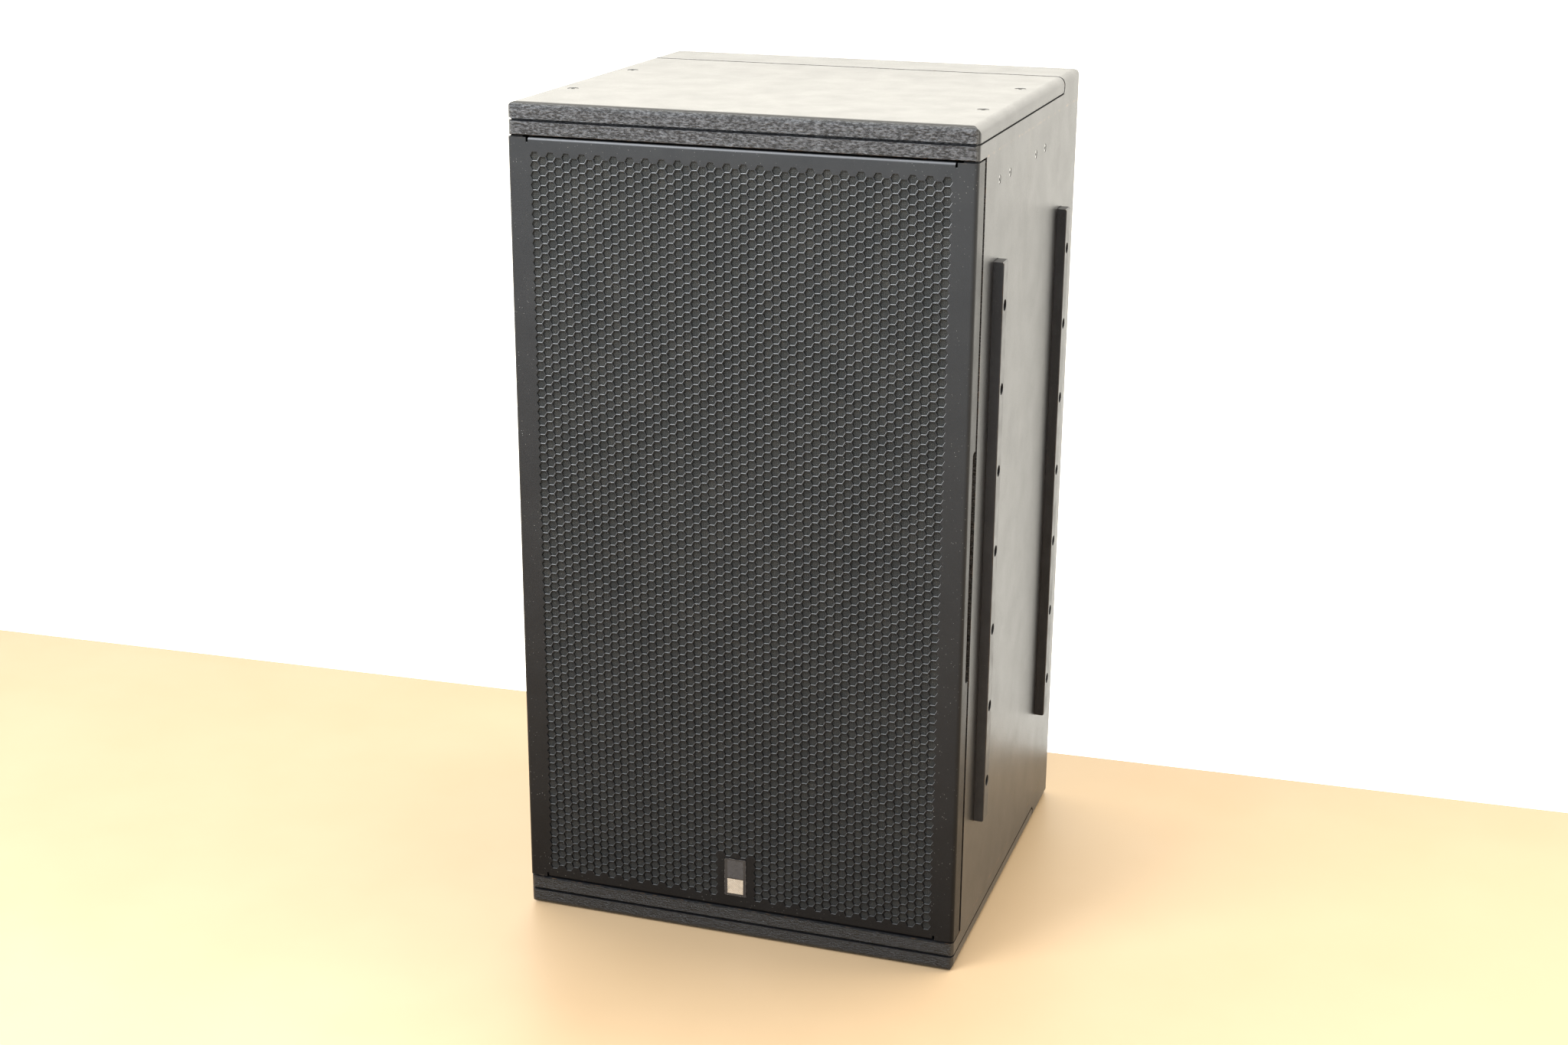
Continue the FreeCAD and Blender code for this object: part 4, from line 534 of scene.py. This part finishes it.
def circuit_board(name, box):
    """Green board with tracks, black capacitors, copper chokes and an aluminium bar."""
    p = Paint(name)
    tracks = p.span(p.cells(6 * MM, "DISTANCE_TO_EDGE"), 0.06, 0.12)
    colour = p.mix(tracks, (0.05, 0.22, 0.09), (0.02, 0.11, 0.045))
    pads = p.span(p.cells(4.5 * MM, "F1"), 0.1, 0.16, 1, 0)
    colour = p.mix(pads, colour, (0.5, 0.5, 0.48))
    above = p.math("GREATER_THAN", p.axes[1], box[0][1] + BOARD_PARTS_Y)
    sleeve = p.tone((0.02, 0.022, 0.03), (0.03, 0.033, 0.045), 8 * MM)
    lid = p.math("GREATER_THAN", p.axes[1], box[1][1] - CAN_LID)
    colour = p.mix(above, colour, p.mix(lid, sleeve, (0.55, 0.55, 0.56)))
    bar = p.both(above, p.within(p.axes[2], *BAR_Z))
    colour = p.mix(bar, colour, p.tone((0.5, 0.5, 0.51), (0.6, 0.6, 0.62), 10 * MM))
    metal = bar
    for x, z in CHOKES_AT:
        radius, turn = p.around(x, z)
        choke = p.both(above, p.math("LESS_THAN", radius, CHOKE_R))
        winding = p.mix(p.wave(turn, math.pi / 20), (0.3, 0.12, 0.05), (0.75, 0.38, 0.2))
        colour = p.mix(choke, colour, winding)
        metal = p.math("MAXIMUM", metal, choke)
    normal = p.bump(p.noise(1.1 * MM, 3.0), 0.08 * MM)
    return p.finish(colour, p.patchy(0.3, 0.5, 9 * MM), normal, metal)


def transformer(name, x, z, box):
    """Toroid wrapped in amber tape, clamped by a steel washer and nut."""
    p = Paint(name)
    radius, turn = p.around(x, z)
    wraps = p.wave(p.math("ADD", turn, p.math("MULTIPLY", radius, 4.0)), math.pi / 24)
    tape = p.mix(wraps, (0.40, 0.27, 0.06), (0.56, 0.4, 0.11))
    steel = p.both(p.math("LESS_THAN", radius, WASHER_R),
                   p.math("GREATER_THAN", p.axes[1], box[1][1] - WASHER_DEPTH))
    colour = p.mix(steel, tape, p.tone((0.5, 0.5, 0.5), (0.62, 0.62, 0.61), 8 * MM))
    normal = p.bump(p.both(wraps, p.math("SUBTRACT", 1.0, steel)), 0.25 * MM)
    return p.finish(colour, p.patchy(0.3, 0.42, 10 * MM), normal, steel)


def status_leds(name):
    """Three tinted lens domes, split by their places along X."""
    p = Paint(name)
    colour = p.tone(LED_COLOURS[0], tuple(c * 1.15 for c in LED_COLOURS[0]), 1.5 * MM)
    for bound, tint in zip(LED_BOUNDS_X, LED_COLOURS[1:]):
        colour = p.mix(p.math("GREATER_THAN", p.axes[0], bound), colour, tint)
    return p.finish(colour, p.patchy(0.12, 0.2, 2 * MM), p.bump(p.noise(0.6 * MM), 0.01 * MM))


def lead_jacket(name):
    """Smooth black plastic."""
    p = Paint(name)
    colour = p.tone((0.02, 0.02, 0.021), (0.034, 0.033, 0.033), 12 * MM)
    return p.finish(colour, p.patchy(0.4, 0.52, 9 * MM), p.bump(p.noise(0.8 * MM), 0.03 * MM))


def wadding(name, dark, light):
    """Matted polyester fibre."""
    p = Paint(name)
    colour = p.tone(dark, light, 9 * MM, 6.0)
    strands = p.noise(1.6 * MM, 6.0, 0.75, (1, 1, 2.4))
    return p.finish(colour, 0.95, p.bump(strands, 0.8 * MM))


def node_material(node, slot, box):
    """The finish of one CAD node, made for its own size and place."""
    driver_z = DRIVER_Z.get(node.split("_")[0], 0)
    black = ((0.016, 0.016, 0.018), (0.027, 0.027, 0.029))
    grey = ((0.24, 0.24, 0.25), (0.36, 0.36, 0.37))
    if slot == "cabinet_paint":
        return cabinet_paint(node, box)
    if slot == "bare_plywood":
        return plywood(node, box) if node == "centre_brace" else baffle_paint(node, box)
    if slot == "grille_coat":
        return grille_coat(node, box)
    if slot == "cone_paper":
        return cone_paper(node, driver_z)
    if slot == "cap_paper":
        return cap_paper(node, driver_z)
    if slot == "surround_cloth":
        return pressed_cloth(node, driver_z, (0.018, 0.018, 0.019), (0.03, 0.03, 0.032), 0.9 * MM, 0.5)
    if slot == "spider_cloth":
        return pressed_cloth(node, driver_z, (0.42, 0.26, 0.1), (0.56, 0.38, 0.17), 0.8 * MM, 0.75)
    if slot == "coil_copper":
        return voice_coil(node, driver_z)
    if slot == "connector_metal":
        return connector(node, *CONNECTORS[node], INSERT_R[node])
    if node == "mains_inlet":
        return mains_inlet(node, *MAINS_AT)
    if slot == "motor_steel":
        return plated(node, *grey, 0.42)
    if slot == "zinc":
        return plated(node, (0.5, 0.5, 0.5), (0.66, 0.66, 0.67), 0.34)
    if node == "anchor_screws":
        return plated(node, (0.2, 0.2, 0.2), (0.36, 0.36, 0.36), 0.3)
    if slot == "screw_black":
        dark, light = (0.02, 0.02, 0.021), (0.055, 0.053, 0.05)
        return coated(node, dark, light, 0.36, 1.2 * MM, 0.05 * MM, metallic=0.5)
    if slot == "basket_coat":
        return coated(node, *black, 0.5, 1.8 * MM, 0.12 * MM, box)
    if slot == "runner_paint":
        return coated(node, *black, 0.42, 1.6 * MM, 0.14 * MM, box, (0.12, 0.075, 0.04))
    if slot == "amp_steel":
        return coated(node, *black, 0.46, 1.0 * MM, 0.10 * MM, box)
    if slot == "sink_aluminium":
        return heat_sink(node, box)
    if slot == "circuit_green":
        return circuit_board(node, box)
    if slot == "transformer_wrap":
        return transformer(node, *TRANSFORMER_AT, box)
    if slot == "led_lens":
        return status_leds(node)
    if slot == "rocker_red":
        return coated(node, (0.4, 0.02, 0.018), (0.5, 0.03, 0.024), 0.28, 0.9 * MM, 0.02 * MM)
    if slot == "badge_black":
        return badge_plate(node, box)
    if slot == "badge_foil":
        return badge_foil(node)
    if slot == "ferrite":
        return ferrite(node)
    if slot == "screen_mesh":
        return screen_cloth(node)
    if slot == "lead_pvc":
        return lead_jacket(node)
    if slot == "wadding":
        return wadding(node, (0.3, 0.3, 0.29), (0.46, 0.45, 0.43))
    return coated(node, *black, 0.42, 1.1 * MM, 0.06 * MM)


node_slots = {part["node"]: part["material_slot"] for part in frame["record"]["subparts"]}
looks = {node: node_material(node, slot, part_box(node)) for node, slot in node_slots.items()}
node_slots["corner_foam"] = "wadding"
looks["corner_foam"] = wadding("corner_foam", (0.02, 0.02, 0.021), (0.035, 0.035, 0.036))


def dress(piece, node):
    """Give a piece the finish of a CAD node."""
    piece.data.materials.clear()
    piece.data.materials.append(looks[node])


for name, node in frame["nodes"].items():
    dress(node, name)


# ---------------------------------------------------------------- mesh helpers


def mesh_object(name, vertices, faces):
    mesh = bpy.data.meshes.new(name)
    mesh.from_pydata(vertices, [], faces)
    mesh.validate()
    piece = bpy.data.objects.new(name, mesh)
    bpy.context.scene.collection.objects.link(piece)
    return piece


def smooth(piece, degrees=30):
    piece.data.shade_smooth()
    piece.data.set_sharp_from_angle(angle=math.radians(degrees))


def close(piece):
    """Point all faces of a closed mesh outwards."""
    work = bmesh.new()
    work.from_mesh(piece.data)
    bmesh.ops.recalc_face_normals(work, faces=work.faces)
    work.to_mesh(piece.data)
    work.free()


# ---------------------------------------------------------------- driver leads

LEAD_DIAMETER = 6.0 * MM
LEAD_POINTS = ((0.100, -0.101, 0.65275), (0.140, -0.101, 0.65275), (0.172, -0.065, 0.64075),
               (0.176, -0.013, 0.61575), (0.150, 0.033, 0.58575), (0.100, 0.068, 0.55675),
               (0.100, 0.114, 0.55675))


def make_lead(side):
    """A lead from a driver's terminals into the amplifier tray."""
    data = bpy.data.curves.new(side + "_lead", "CURVE")
    data.dimensions = "3D"
    spline = data.splines.new("NURBS")
    spline.points.add(len(LEAD_POINTS) - 1)
    for point, (x, y, z) in zip(spline.points, LEAD_POINTS):
        point.co = (x, y, z if side == "upper" else HEIGHT - z, 1)
    spline.order_u = 3
    spline.use_endpoint_u = True
    spline.resolution_u = 16
    data.bevel_depth = LEAD_DIAMETER / 2
    data.bevel_resolution = 6
    data.use_fill_caps = True
    lead = bpy.data.objects.new(side + "_lead", data)
    bpy.context.scene.collection.objects.link(lead)
    dress(lead, side + "_driver_lead")
    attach(lead, "cabinet")
    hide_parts(side + "_driver_lead")


make_camera()
for side in DRIVER_Z:
    make_lead(side)


# ---------------------------------------------------------------- perforated grille

SHEET_T = 1.5 * MM
END_BEND_R = 3.0 * MM
SIDE_BEND_R = 5.0 * MM
BEND_STEPS = 8
HEX_PITCH = 10.11 * MM
HEX_DROP = 1.5 * MM
HOLE_FRONT = 9.25 * MM
HOLE_BACK = 8.6 * MM
HOLE_BEVEL = 0.4 * MM
HEX_COLUMNS = 51
HEX_ROWS = 81
END_FLANGE_DEPTH = 18.0 * MM
RELIEF_IN = 226.1 * MM
RELIEF_OUT = 228.5 * MM
RELIEF_HEIGHT = 5.0 * MM
NOTCH_HALF = 126.0 * MM
NOTCH_DEPTH = 10.0 * MM
NOTCH_R = 5.0 * MM
BADGE_CLEARANCE = 0.3 * MM
BADGE_BORDER = 0.6 * MM


def hexagon(x, z, across):
    """Corners of a hexagon with two flat sides level."""
    radius = across / math.sqrt(3)
    return [(x + radius * math.cos(math.radians(60 * i)), z + radius * math.sin(math.radians(60 * i)))
            for i in range(6)]


def hole_centres(window, mid_z):
    """Centres of the perforation's staggered columns, leaving out those at the badge's window."""
    reach = HEX_PITCH / 2 + BADGE_BORDER
    column_pitch = HEX_PITCH * math.sqrt(3) / 2
    centres = []
    for c in range(HEX_COLUMNS):
        x = (c - (HEX_COLUMNS - 1) / 2) * column_pitch
        rows = HEX_ROWS - c % 2
        for r in range(rows):
            z = mid_z - HEX_DROP + (r - (rows - 1) / 2) * HEX_PITCH
            beside = window[0] - reach < x < window[1] + reach
            if not (beside and window[2] - reach < z < window[3] + reach):
                centres.append((x, z))
    return centres


class Sheet:
    """Vertices and faces of the folded sheet."""

    def __init__(self):
        self.vertices = []
        self.faces = []

    def vertex(self, x, y, z):
        self.vertices.append((x, y, z))
        return len(self.vertices) - 1

    def fold(self, outer, inner, way, high, front_y):
        """Add a bend and its flange behind the sheet's edge from outer[0] to outer[1]."""
        bend_r = SIDE_BEND_R if way[0] else END_BEND_R
        ends = [self.vertices[i] for i in outer]
        for step in range(1, BEND_STEPS + 1):
            turn = math.radians(90) * step / BEND_STEPS
            fresh = []
            for radius in (bend_r, bend_r - SHEET_T):
                out = radius * math.sin(turn)
                y = front_y + bend_r - radius * math.cos(turn)
                fresh.append([self.vertex(x + way[0] * out, y, z + way[1] * out) for x, _, z in ends])
            self.band(outer, inner, fresh[0], fresh[1])
            outer, inner = fresh
        if way[0]:
            self.notched_flange(outer, inner, high.y)
            return
        fresh = []
        for pair in (outer, inner):
            corners = [self.vertices[i] for i in pair]
            fresh.append([self.vertex(x, front_y + END_FLANGE_DEPTH, z) for x, _, z in corners])
        self.band(outer, inner, fresh[0], fresh[1])
        self.faces.append([fresh[0][0], fresh[0][1], fresh[1][1], fresh[1][0]])

    def band(self, outer, inner, next_outer, next_inner):
        """One strip of the sheet: both its skins and its two ends."""
        self.faces.append([outer[0], outer[1], next_outer[1], next_outer[0]])
        self.faces.append([inner[1], inner[0], next_inner[0], next_inner[1]])
        self.faces.append([outer[0], next_outer[0], next_inner[0], inner[0]])
        self.faces.append([outer[1], inner[1], next_inner[1], next_outer[1]])

    def notched_flange(self, outer, inner, back_y):
        """Side flange whose rear edge carries the finger notch."""
        z_ends = [self.vertices[i][2] for i in outer]
        way = 1 if z_ends[1] > z_ends[0] else -1
        mid_z = sum(z_ends) / 2
        path = [(back_y, z_ends[1])]
        for end in (1, -1):
            arc = []
            for step in range(BEND_STEPS + 1):
                turn = math.radians(90) * step / BEND_STEPS
                y = back_y - NOTCH_DEPTH + NOTCH_R * (1 - math.sin(turn))
                z = NOTCH_HALF - NOTCH_R * (1 - math.cos(turn))
                arc.append((y, mid_z + way * end * z))
            arc = [(back_y, mid_z + way * end * NOTCH_HALF)] + arc
            path += arc if end == 1 else arc[::-1]
        path.append((back_y, z_ends[0]))
        rims = []
        for pair in (outer, inner):
            x = self.vertices[pair[0]][0]
            rims.append([self.vertex(x, y, z) for y, z in path])
        self.faces.append([outer[0], outer[1]] + rims[0])
        self.faces.append([inner[1], inner[0]] + rims[1][::-1])
        loops = [[outer[1]] + rims[0] + [outer[0]], [inner[1]] + rims[1] + [inner[0]]]
        for i in range(len(loops[0]) - 1):
            self.faces.append([loops[0][i], loops[1][i], loops[1][i + 1], loops[0][i + 1]])


def make_grille():
    """The folded sheet with its hexagonal perforation."""
    low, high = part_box("grille")
    badge_low, badge_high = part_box("badge_plate")
    window = (badge_low.x - BADGE_CLEARANCE, badge_high.x + BADGE_CLEARANCE,
              badge_low.z - BADGE_CLEARANCE, badge_high.z + BADGE_CLEARANCE)
    mid_z = (low.z + high.z) / 2
    centres = hole_centres(window, mid_z)
    front_y = low.y
    top = high.z - END_BEND_R
    half_flat = high.x - SIDE_BEND_R
    right_top = [(RELIEF_IN, top), (RELIEF_IN, high.z - RELIEF_HEIGHT), (RELIEF_OUT, high.z - RELIEF_HEIGHT),
                 (RELIEF_OUT, high.z), (half_flat, high.z)]
    right_bottom = [(x, 2 * mid_z - z) for x, z in reversed(right_top)]
    right_side = right_top + right_bottom
    outline = right_side + [(-x, z) for x, z in reversed(right_side)]
    window_loop = [(window[0], window[2]), (window[1], window[2]),
                   (window[1], window[3]), (window[0], window[3])]
    flat = list(outline) + window_loop
    edges = [(i, (i + 1) % len(outline)) for i in range(len(outline))]
    base = len(outline)
    edges += [(base + i, base + (i + 1) % 4) for i in range(4)]
    hole_start = len(flat)
    for x, z in centres:
        start = len(flat)
        flat += hexagon(x, z, HOLE_FRONT)
        edges += [(start + i, start + (i + 1) % 6) for i in range(6)]
    done = geometry.delaunay_2d_cdt([Vector(p) for p in flat], edges, [], 1, 1e-9)
    place = [sources[0] for sources in done[3]]
    sheet = Sheet()
    front = [sheet.vertex(x, front_y, z) for x, z in flat]
    back = [sheet.vertex(x, front_y + SHEET_T, z) for x, z in flat[:hole_start]]
    middle = []
    for x, z in centres:
        corners = hexagon(x, z, HOLE_BACK)
        middle += [sheet.vertex(cx, front_y + HOLE_BEVEL, cz) for cx, cz in corners]
        back += [sheet.vertex(cx, front_y + SHEET_T, cz) for cx, cz in corners]
    for triangle in done[2]:
        corners = [place[i] for i in triangle]
        if min(corners) >= hole_start and len({(i - hole_start) // 6 for i in corners}) == 1:
            continue
        if all(base <= i < hole_start for i in corners):
            continue
        sheet.faces.append([front[i] for i in corners])
        sheet.faces.append([back[i] for i in reversed(corners)])
    for hole in range(len(centres)):
        for i in range(6):
            a, b = hole * 6 + i, hole * 6 + (i + 1) % 6
            fa, fb = front[hole_start + a], front[hole_start + b]
            sheet.faces.append([fa, fb, middle[b], middle[a]])
            sheet.faces.append([middle[a], middle[b], back[hole_start + b], back[hole_start + a]])
    for i in range(4):
        a, b = base + i, base + (i + 1) % 4
        sheet.faces.append([front[a], front[b], back[b], back[a]])
    corner = len(right_top) - 1
    folds = {corner: (1, 0), 2 * corner + 1: (0, -1), 3 * corner + 2: (-1, 0), 4 * corner + 3: (0, 1)}
    for i in range(base):
        j = (i + 1) % base
        if i in folds:
            sheet.fold([front[i], front[j]], [back[i], back[j]], folds[i], high, front_y)
        else:
            sheet.faces.append([front[i], front[j], back[j], back[i]])
    piece = mesh_object("perforated_grille", sheet.vertices, sheet.faces)
    close(piece)
    smooth(piece)
    dress(piece, "grille")
    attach(piece, "cabinet")
    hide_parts("grille")


# ---------------------------------------------------------------- screen, pads and foam

CLOTH_T = 1.2 * MM
CLOTH_GAP = 0.3 * MM
CLOTH_SLACK = 0.35 * MM
CLOTH_COLUMNS = 48
CLOTH_ROWS = 80


def make_screen():
    """Acoustic cloth stretched flat behind the perforation, with a faint slackness."""
    low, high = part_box("grille_screen")
    columns, rows = CLOTH_COLUMNS, CLOTH_ROWS
    vertices, faces = [], []
    for layer in (0, CLOTH_T):
        for r in range(rows + 1):
            for c in range(columns + 1):
                across, up = c / columns, r / rows
                x = low.x + (high.x - low.x) * across
                z = low.z + (high.z - low.z) * up
                edge = math.sin(math.pi * across) * math.sin(math.pi * up)
                slack = CLOTH_SLACK * edge * (1 + math.sin(17 * x + 5) * math.cos(13 * z))
                vertices.append((x, low.y + CLOTH_GAP + slack + layer, z))
    row = columns + 1
    layer = row * (rows + 1)
    for r in range(rows):
        for c in range(columns):
            a = r * row + c
            faces.append([a, a + 1, a + row + 1, a + row])
            faces.append([layer + a, layer + a + row, layer + a + row + 1, layer + a + 1])
    rim = list(range(columns)) + [columns + r * row for r in range(rows)]
    rim += [rows * row + columns - c for c in range(columns)] + [(rows - r) * row for r in range(rows)]
    for i, a in enumerate(rim):
        b = rim[(i + 1) % len(rim)]
        faces.append([a, layer + a, layer + b, b])
    piece = mesh_object("screen_cloth", vertices, faces)
    close(piece)
    smooth(piece)
    dress(piece, "grille_screen")
    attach(piece, "cabinet")
    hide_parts("grille_screen")


def soft_block(name, low, high, node, steps, puff, radius):
    """A foam or fibre block: rounded edges and a gently lumpy surface."""
    work = bmesh.new()
    bmesh.ops.create_cube(work, size=1)
    bmesh.ops.scale(work, vec=high - low, verts=work.verts)
    bmesh.ops.translate(work, vec=(low + high) / 2, verts=work.verts)
    bmesh.ops.bevel(work, geom=work.edges[:], offset=radius, segments=3, profile=0.5, affect="EDGES")
    for axis, count in enumerate(steps):
        for i in range(1, count):
            cut_at = low.lerp(high, i / count)
            normal = Vector([1.0 if k == axis else 0.0 for k in range(3)])
            everything = work.verts[:] + work.edges[:] + work.faces[:]
            bmesh.ops.bisect_plane(work, geom=everything, plane_co=cut_at, plane_no=normal)
    work.normal_update()
    for vertex in work.verts:
        x, y, z = vertex.co
        lump = 0.5 + 0.5 * math.sin(61 * x + 3) * math.cos(53 * z + 1) * math.cos(80 * y)
        vertex.co -= vertex.normal * puff * lump
    mesh = bpy.data.meshes.new(name)
    work.to_mesh(mesh)
    work.free()
    piece = bpy.data.objects.new(name, mesh)
    bpy.context.scene.collection.objects.link(piece)
    close(piece)
    smooth(piece, 60)
    dress(piece, node)
    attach(piece, "cabinet")
    return piece


PAD_Z = (690 * MM, 866 * MM)
FOAM_X = (233.0 * MM, 247.4 * MM)
FOAM_Y = (-239.9 * MM, -222.0 * MM)
FOAM_HEIGHT = 20.0 * MM
FOAM_LAP = 1.6 * MM

# Each soft block's finish, cuts along X, Y and Z, depth of its lumps, and edge radius.
PAD = ("lining_pads", (36, 3, 16), 4 * MM, 7 * MM)
FOAM = ("corner_foam", (4, 4, 5), 0.2 * MM, 1 * MM)


def make_linings():
    """Fibre pads on the rear panel, and foam blocks that close the grille's four corners."""
    low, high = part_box("lining_pads")
    for side in DRIVER_Z:
        z0, z1 = PAD_Z if side == "upper" else (HEIGHT - PAD_Z[1], HEIGHT - PAD_Z[0])
        pad = soft_block(side + "_lining_pad", Vector((low.x, low.y, z0)), Vector((high.x, high.y, z1)), *PAD)
    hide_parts("lining_pads")
    grille_low, grille_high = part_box("grille")
    ends = {"bottom": (grille_low.z - FOAM_LAP, grille_low.z + FOAM_HEIGHT),
            "top": (grille_high.z - FOAM_HEIGHT, grille_high.z + FOAM_LAP)}
    for end, (z0, z1) in ends.items():
        for side, way in (("left", -1), ("right", 1)):
            x0, x1 = sorted((way * FOAM_X[0], way * FOAM_X[1]))
            block = soft_block(end + "_" + side + "_corner_foam", Vector((x0, FOAM_Y[0], z0)),
                               Vector((x1, FOAM_Y[1], z1)), *FOAM)


# ---------------------------------------------------------------- driver suspensions

RING_STEPS = 144
CONE_RIM_R = 142.0 * MM
ROLL_IN_R = 146.0 * MM
ROLL_OUT_R = 170.0 * MM
SURROUND_OUT_R = 178.0 * MM
SEAT_DEPTH = -3.0 * MM
SURROUND_T = 1.6 * MM
ROLL_HEIGHT = 12.0 * MM
ROLL_STEPS = 24
SPIDER_IN_R = 50.3 * MM
SPIDER_FLAT = 6.0 * MM
SPIDER_WAVE_OUT_R = 79.0 * MM
SPIDER_OUT_R = 88.4 * MM
SPIDER_DEPTH = 83.5 * MM
SPIDER_T = 1.2 * MM
SPIDER_WAVE = 2.4 * MM
SPIDER_WAVES = 6
SPIDER_STEPS = 72


def turned_ring(name, profile, z, node):
    """A closed profile of radius and depth behind the baffle's face, turned about the driver's axis."""
    vertices, faces = [], []
    count = len(profile)
    for i in range(RING_STEPS):
        turn = 2 * math.pi * i / RING_STEPS
        for radius, depth in profile:
            vertices.append((radius * math.cos(turn), BAFFLE_Y + depth, z + radius * math.sin(turn)))
    for i in range(RING_STEPS):
        j = (i + 1) % RING_STEPS
        for k in range(count):
            m = (k + 1) % count
            faces.append([i * count + k, i * count + m, j * count + m, j * count + k])
    piece = mesh_object(name, vertices, faces)
    close(piece)
    smooth(piece, 50)
    dress(piece, node)
    return piece


def flex(piece):
    """Bake a ring's placement into its mesh."""
    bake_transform(piece)


def make_surround(side, z):
    """The half-roll that joins the cone's rim to the basket."""
    t = SURROUND_T
    middle, half = (ROLL_IN_R + ROLL_OUT_R) / 2, (ROLL_OUT_R - ROLL_IN_R) / 2
    front = [(CONE_RIM_R, SEAT_DEPTH - t)]
    back = [(CONE_RIM_R, SEAT_DEPTH)]
    for i in range(ROLL_STEPS + 1):
        turn = math.pi * i / ROLL_STEPS
        rise = math.sin(turn)
        front.append((middle - half * math.cos(turn), SEAT_DEPTH - t - ROLL_HEIGHT * rise))
        back.append((middle - (half - t * rise) * math.cos(turn), SEAT_DEPTH - ROLL_HEIGHT * rise))
    front.append((SURROUND_OUT_R, SEAT_DEPTH - t))
    back.append((SURROUND_OUT_R, SEAT_DEPTH))
    ring = turned_ring(side + "_surround_roll", front + back[::-1], z, side + "_surround")
    flex(ring)
    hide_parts(side + "_surround")


def make_spider(side, z):
    """The corrugated cloth that centres the voice coil."""
    face = [(SPIDER_IN_R, SPIDER_DEPTH - SPIDER_T)]
    for i in range(SPIDER_STEPS + 1):
        part = i / SPIDER_STEPS
        radius = SPIDER_IN_R + SPIDER_FLAT + (SPIDER_WAVE_OUT_R - SPIDER_IN_R - SPIDER_FLAT) * part
        wave = SPIDER_WAVE * math.sin(math.pi * SPIDER_WAVES * part) ** 2
        face.append((radius, SPIDER_DEPTH - SPIDER_T - wave))
    rear = [(SPIDER_OUT_R, SPIDER_DEPTH)] + [(radius, depth + SPIDER_T) for radius, depth in reversed(face)]
    face.append((SPIDER_OUT_R - SPIDER_T, SPIDER_DEPTH - SPIDER_T))
    ring = turned_ring(side + "_spider_cloth", face + rear, z, side + "_spider")
    flex(ring)
    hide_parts(side + "_spider")


make_grille()
make_screen()
make_linings()
for side, z in DRIVER_Z.items():
    make_surround(side, z)
    make_spider(side, z)

# ---------------------------------------------------------------- floor, wall and world

FLOOR_HALF = 12
WALL_HALF = 6
WALL_HEIGHT = 4


def make_floor():
    """A pale floor, painted warmer and darker by the wall as painted shade and whiter far in front as painted
    light.
    """
    half = FLOOR_HALF
    corners = [(-half, -half, 0), (half, -half, 0), (half, half, 0), (-half, half, 0)]
    floor = mesh_object("floor", corners, [(0, 1, 2, 3)])
    p = Paint("floor")
    colour = p.tone((0.54, 0.375, 0.222), (0.63, 0.45, 0.282), 600 * MM)
    # Painted shade: darker and warmer towards the wall.
    colour = p.mix(p.span(p.axes[1], -1.2, 0.3), colour, (0.47, 0.33, 0.185))
    # Painted light: whiter far in front.
    colour = p.mix(p.span(p.axes[1], -1.4, -2.4), colour, (0.74, 0.76, 0.78))
    normal = p.bump(p.noise(4 * MM), 0.02 * MM)
    floor.data.materials.append(p.finish(colour, p.patchy(0.42, 0.5, 200 * MM), normal))


def make_wall():
    """A glowing wall behind the cabinet, brighter above it, and clear from its back."""
    half, height = WALL_HALF, WALL_HEIGHT
    corners = [(-half, 0, 0), (half, 0, 0), (half, 0, height), (-half, 0, height)]
    wall = mesh_object("wall", corners, [(0, 1, 2, 3)])
    wall.matrix_world = Matrix.Translation((*WALL_AT, 0)) @ Matrix.Rotation(WALL_TURN, 4, "Z")
    p = Paint("wall")
    glow = p.span(p.axes[2], *WALL_GLOW_SPAN, *WALL_GLOW)
    emission = p.add("ShaderNodeEmission", {"Color": WALL_COLOUR, "Strength": glow})
    clear = p.add("ShaderNodeBsdfTransparent")
    behind = p.add("ShaderNodeNewGeometry").outputs["Backfacing"]
    seen = p.add("ShaderNodeMixShader", {0: behind, 1: emission.outputs[0], 2: clear.outputs[0]})
    p.add("ShaderNodeOutputMaterial", {"Surface": seen.outputs[0]})
    wall.data.materials.append(p.material)


def make_world():
    world = bpy.data.worlds.new("world")
    world.use_nodes = True
    background = world.node_tree.nodes["Background"]
    background.inputs[0].default_value = WORLD_COLOUR
    background.inputs[1].default_value = WORLD_GLOW
    bpy.context.scene.world = world
    bpy.context.scene.view_settings.view_transform = "Standard"


make_floor()
make_wall()
make_world()
for name, settings in LIGHTS.items():
    area_light(name, *settings)
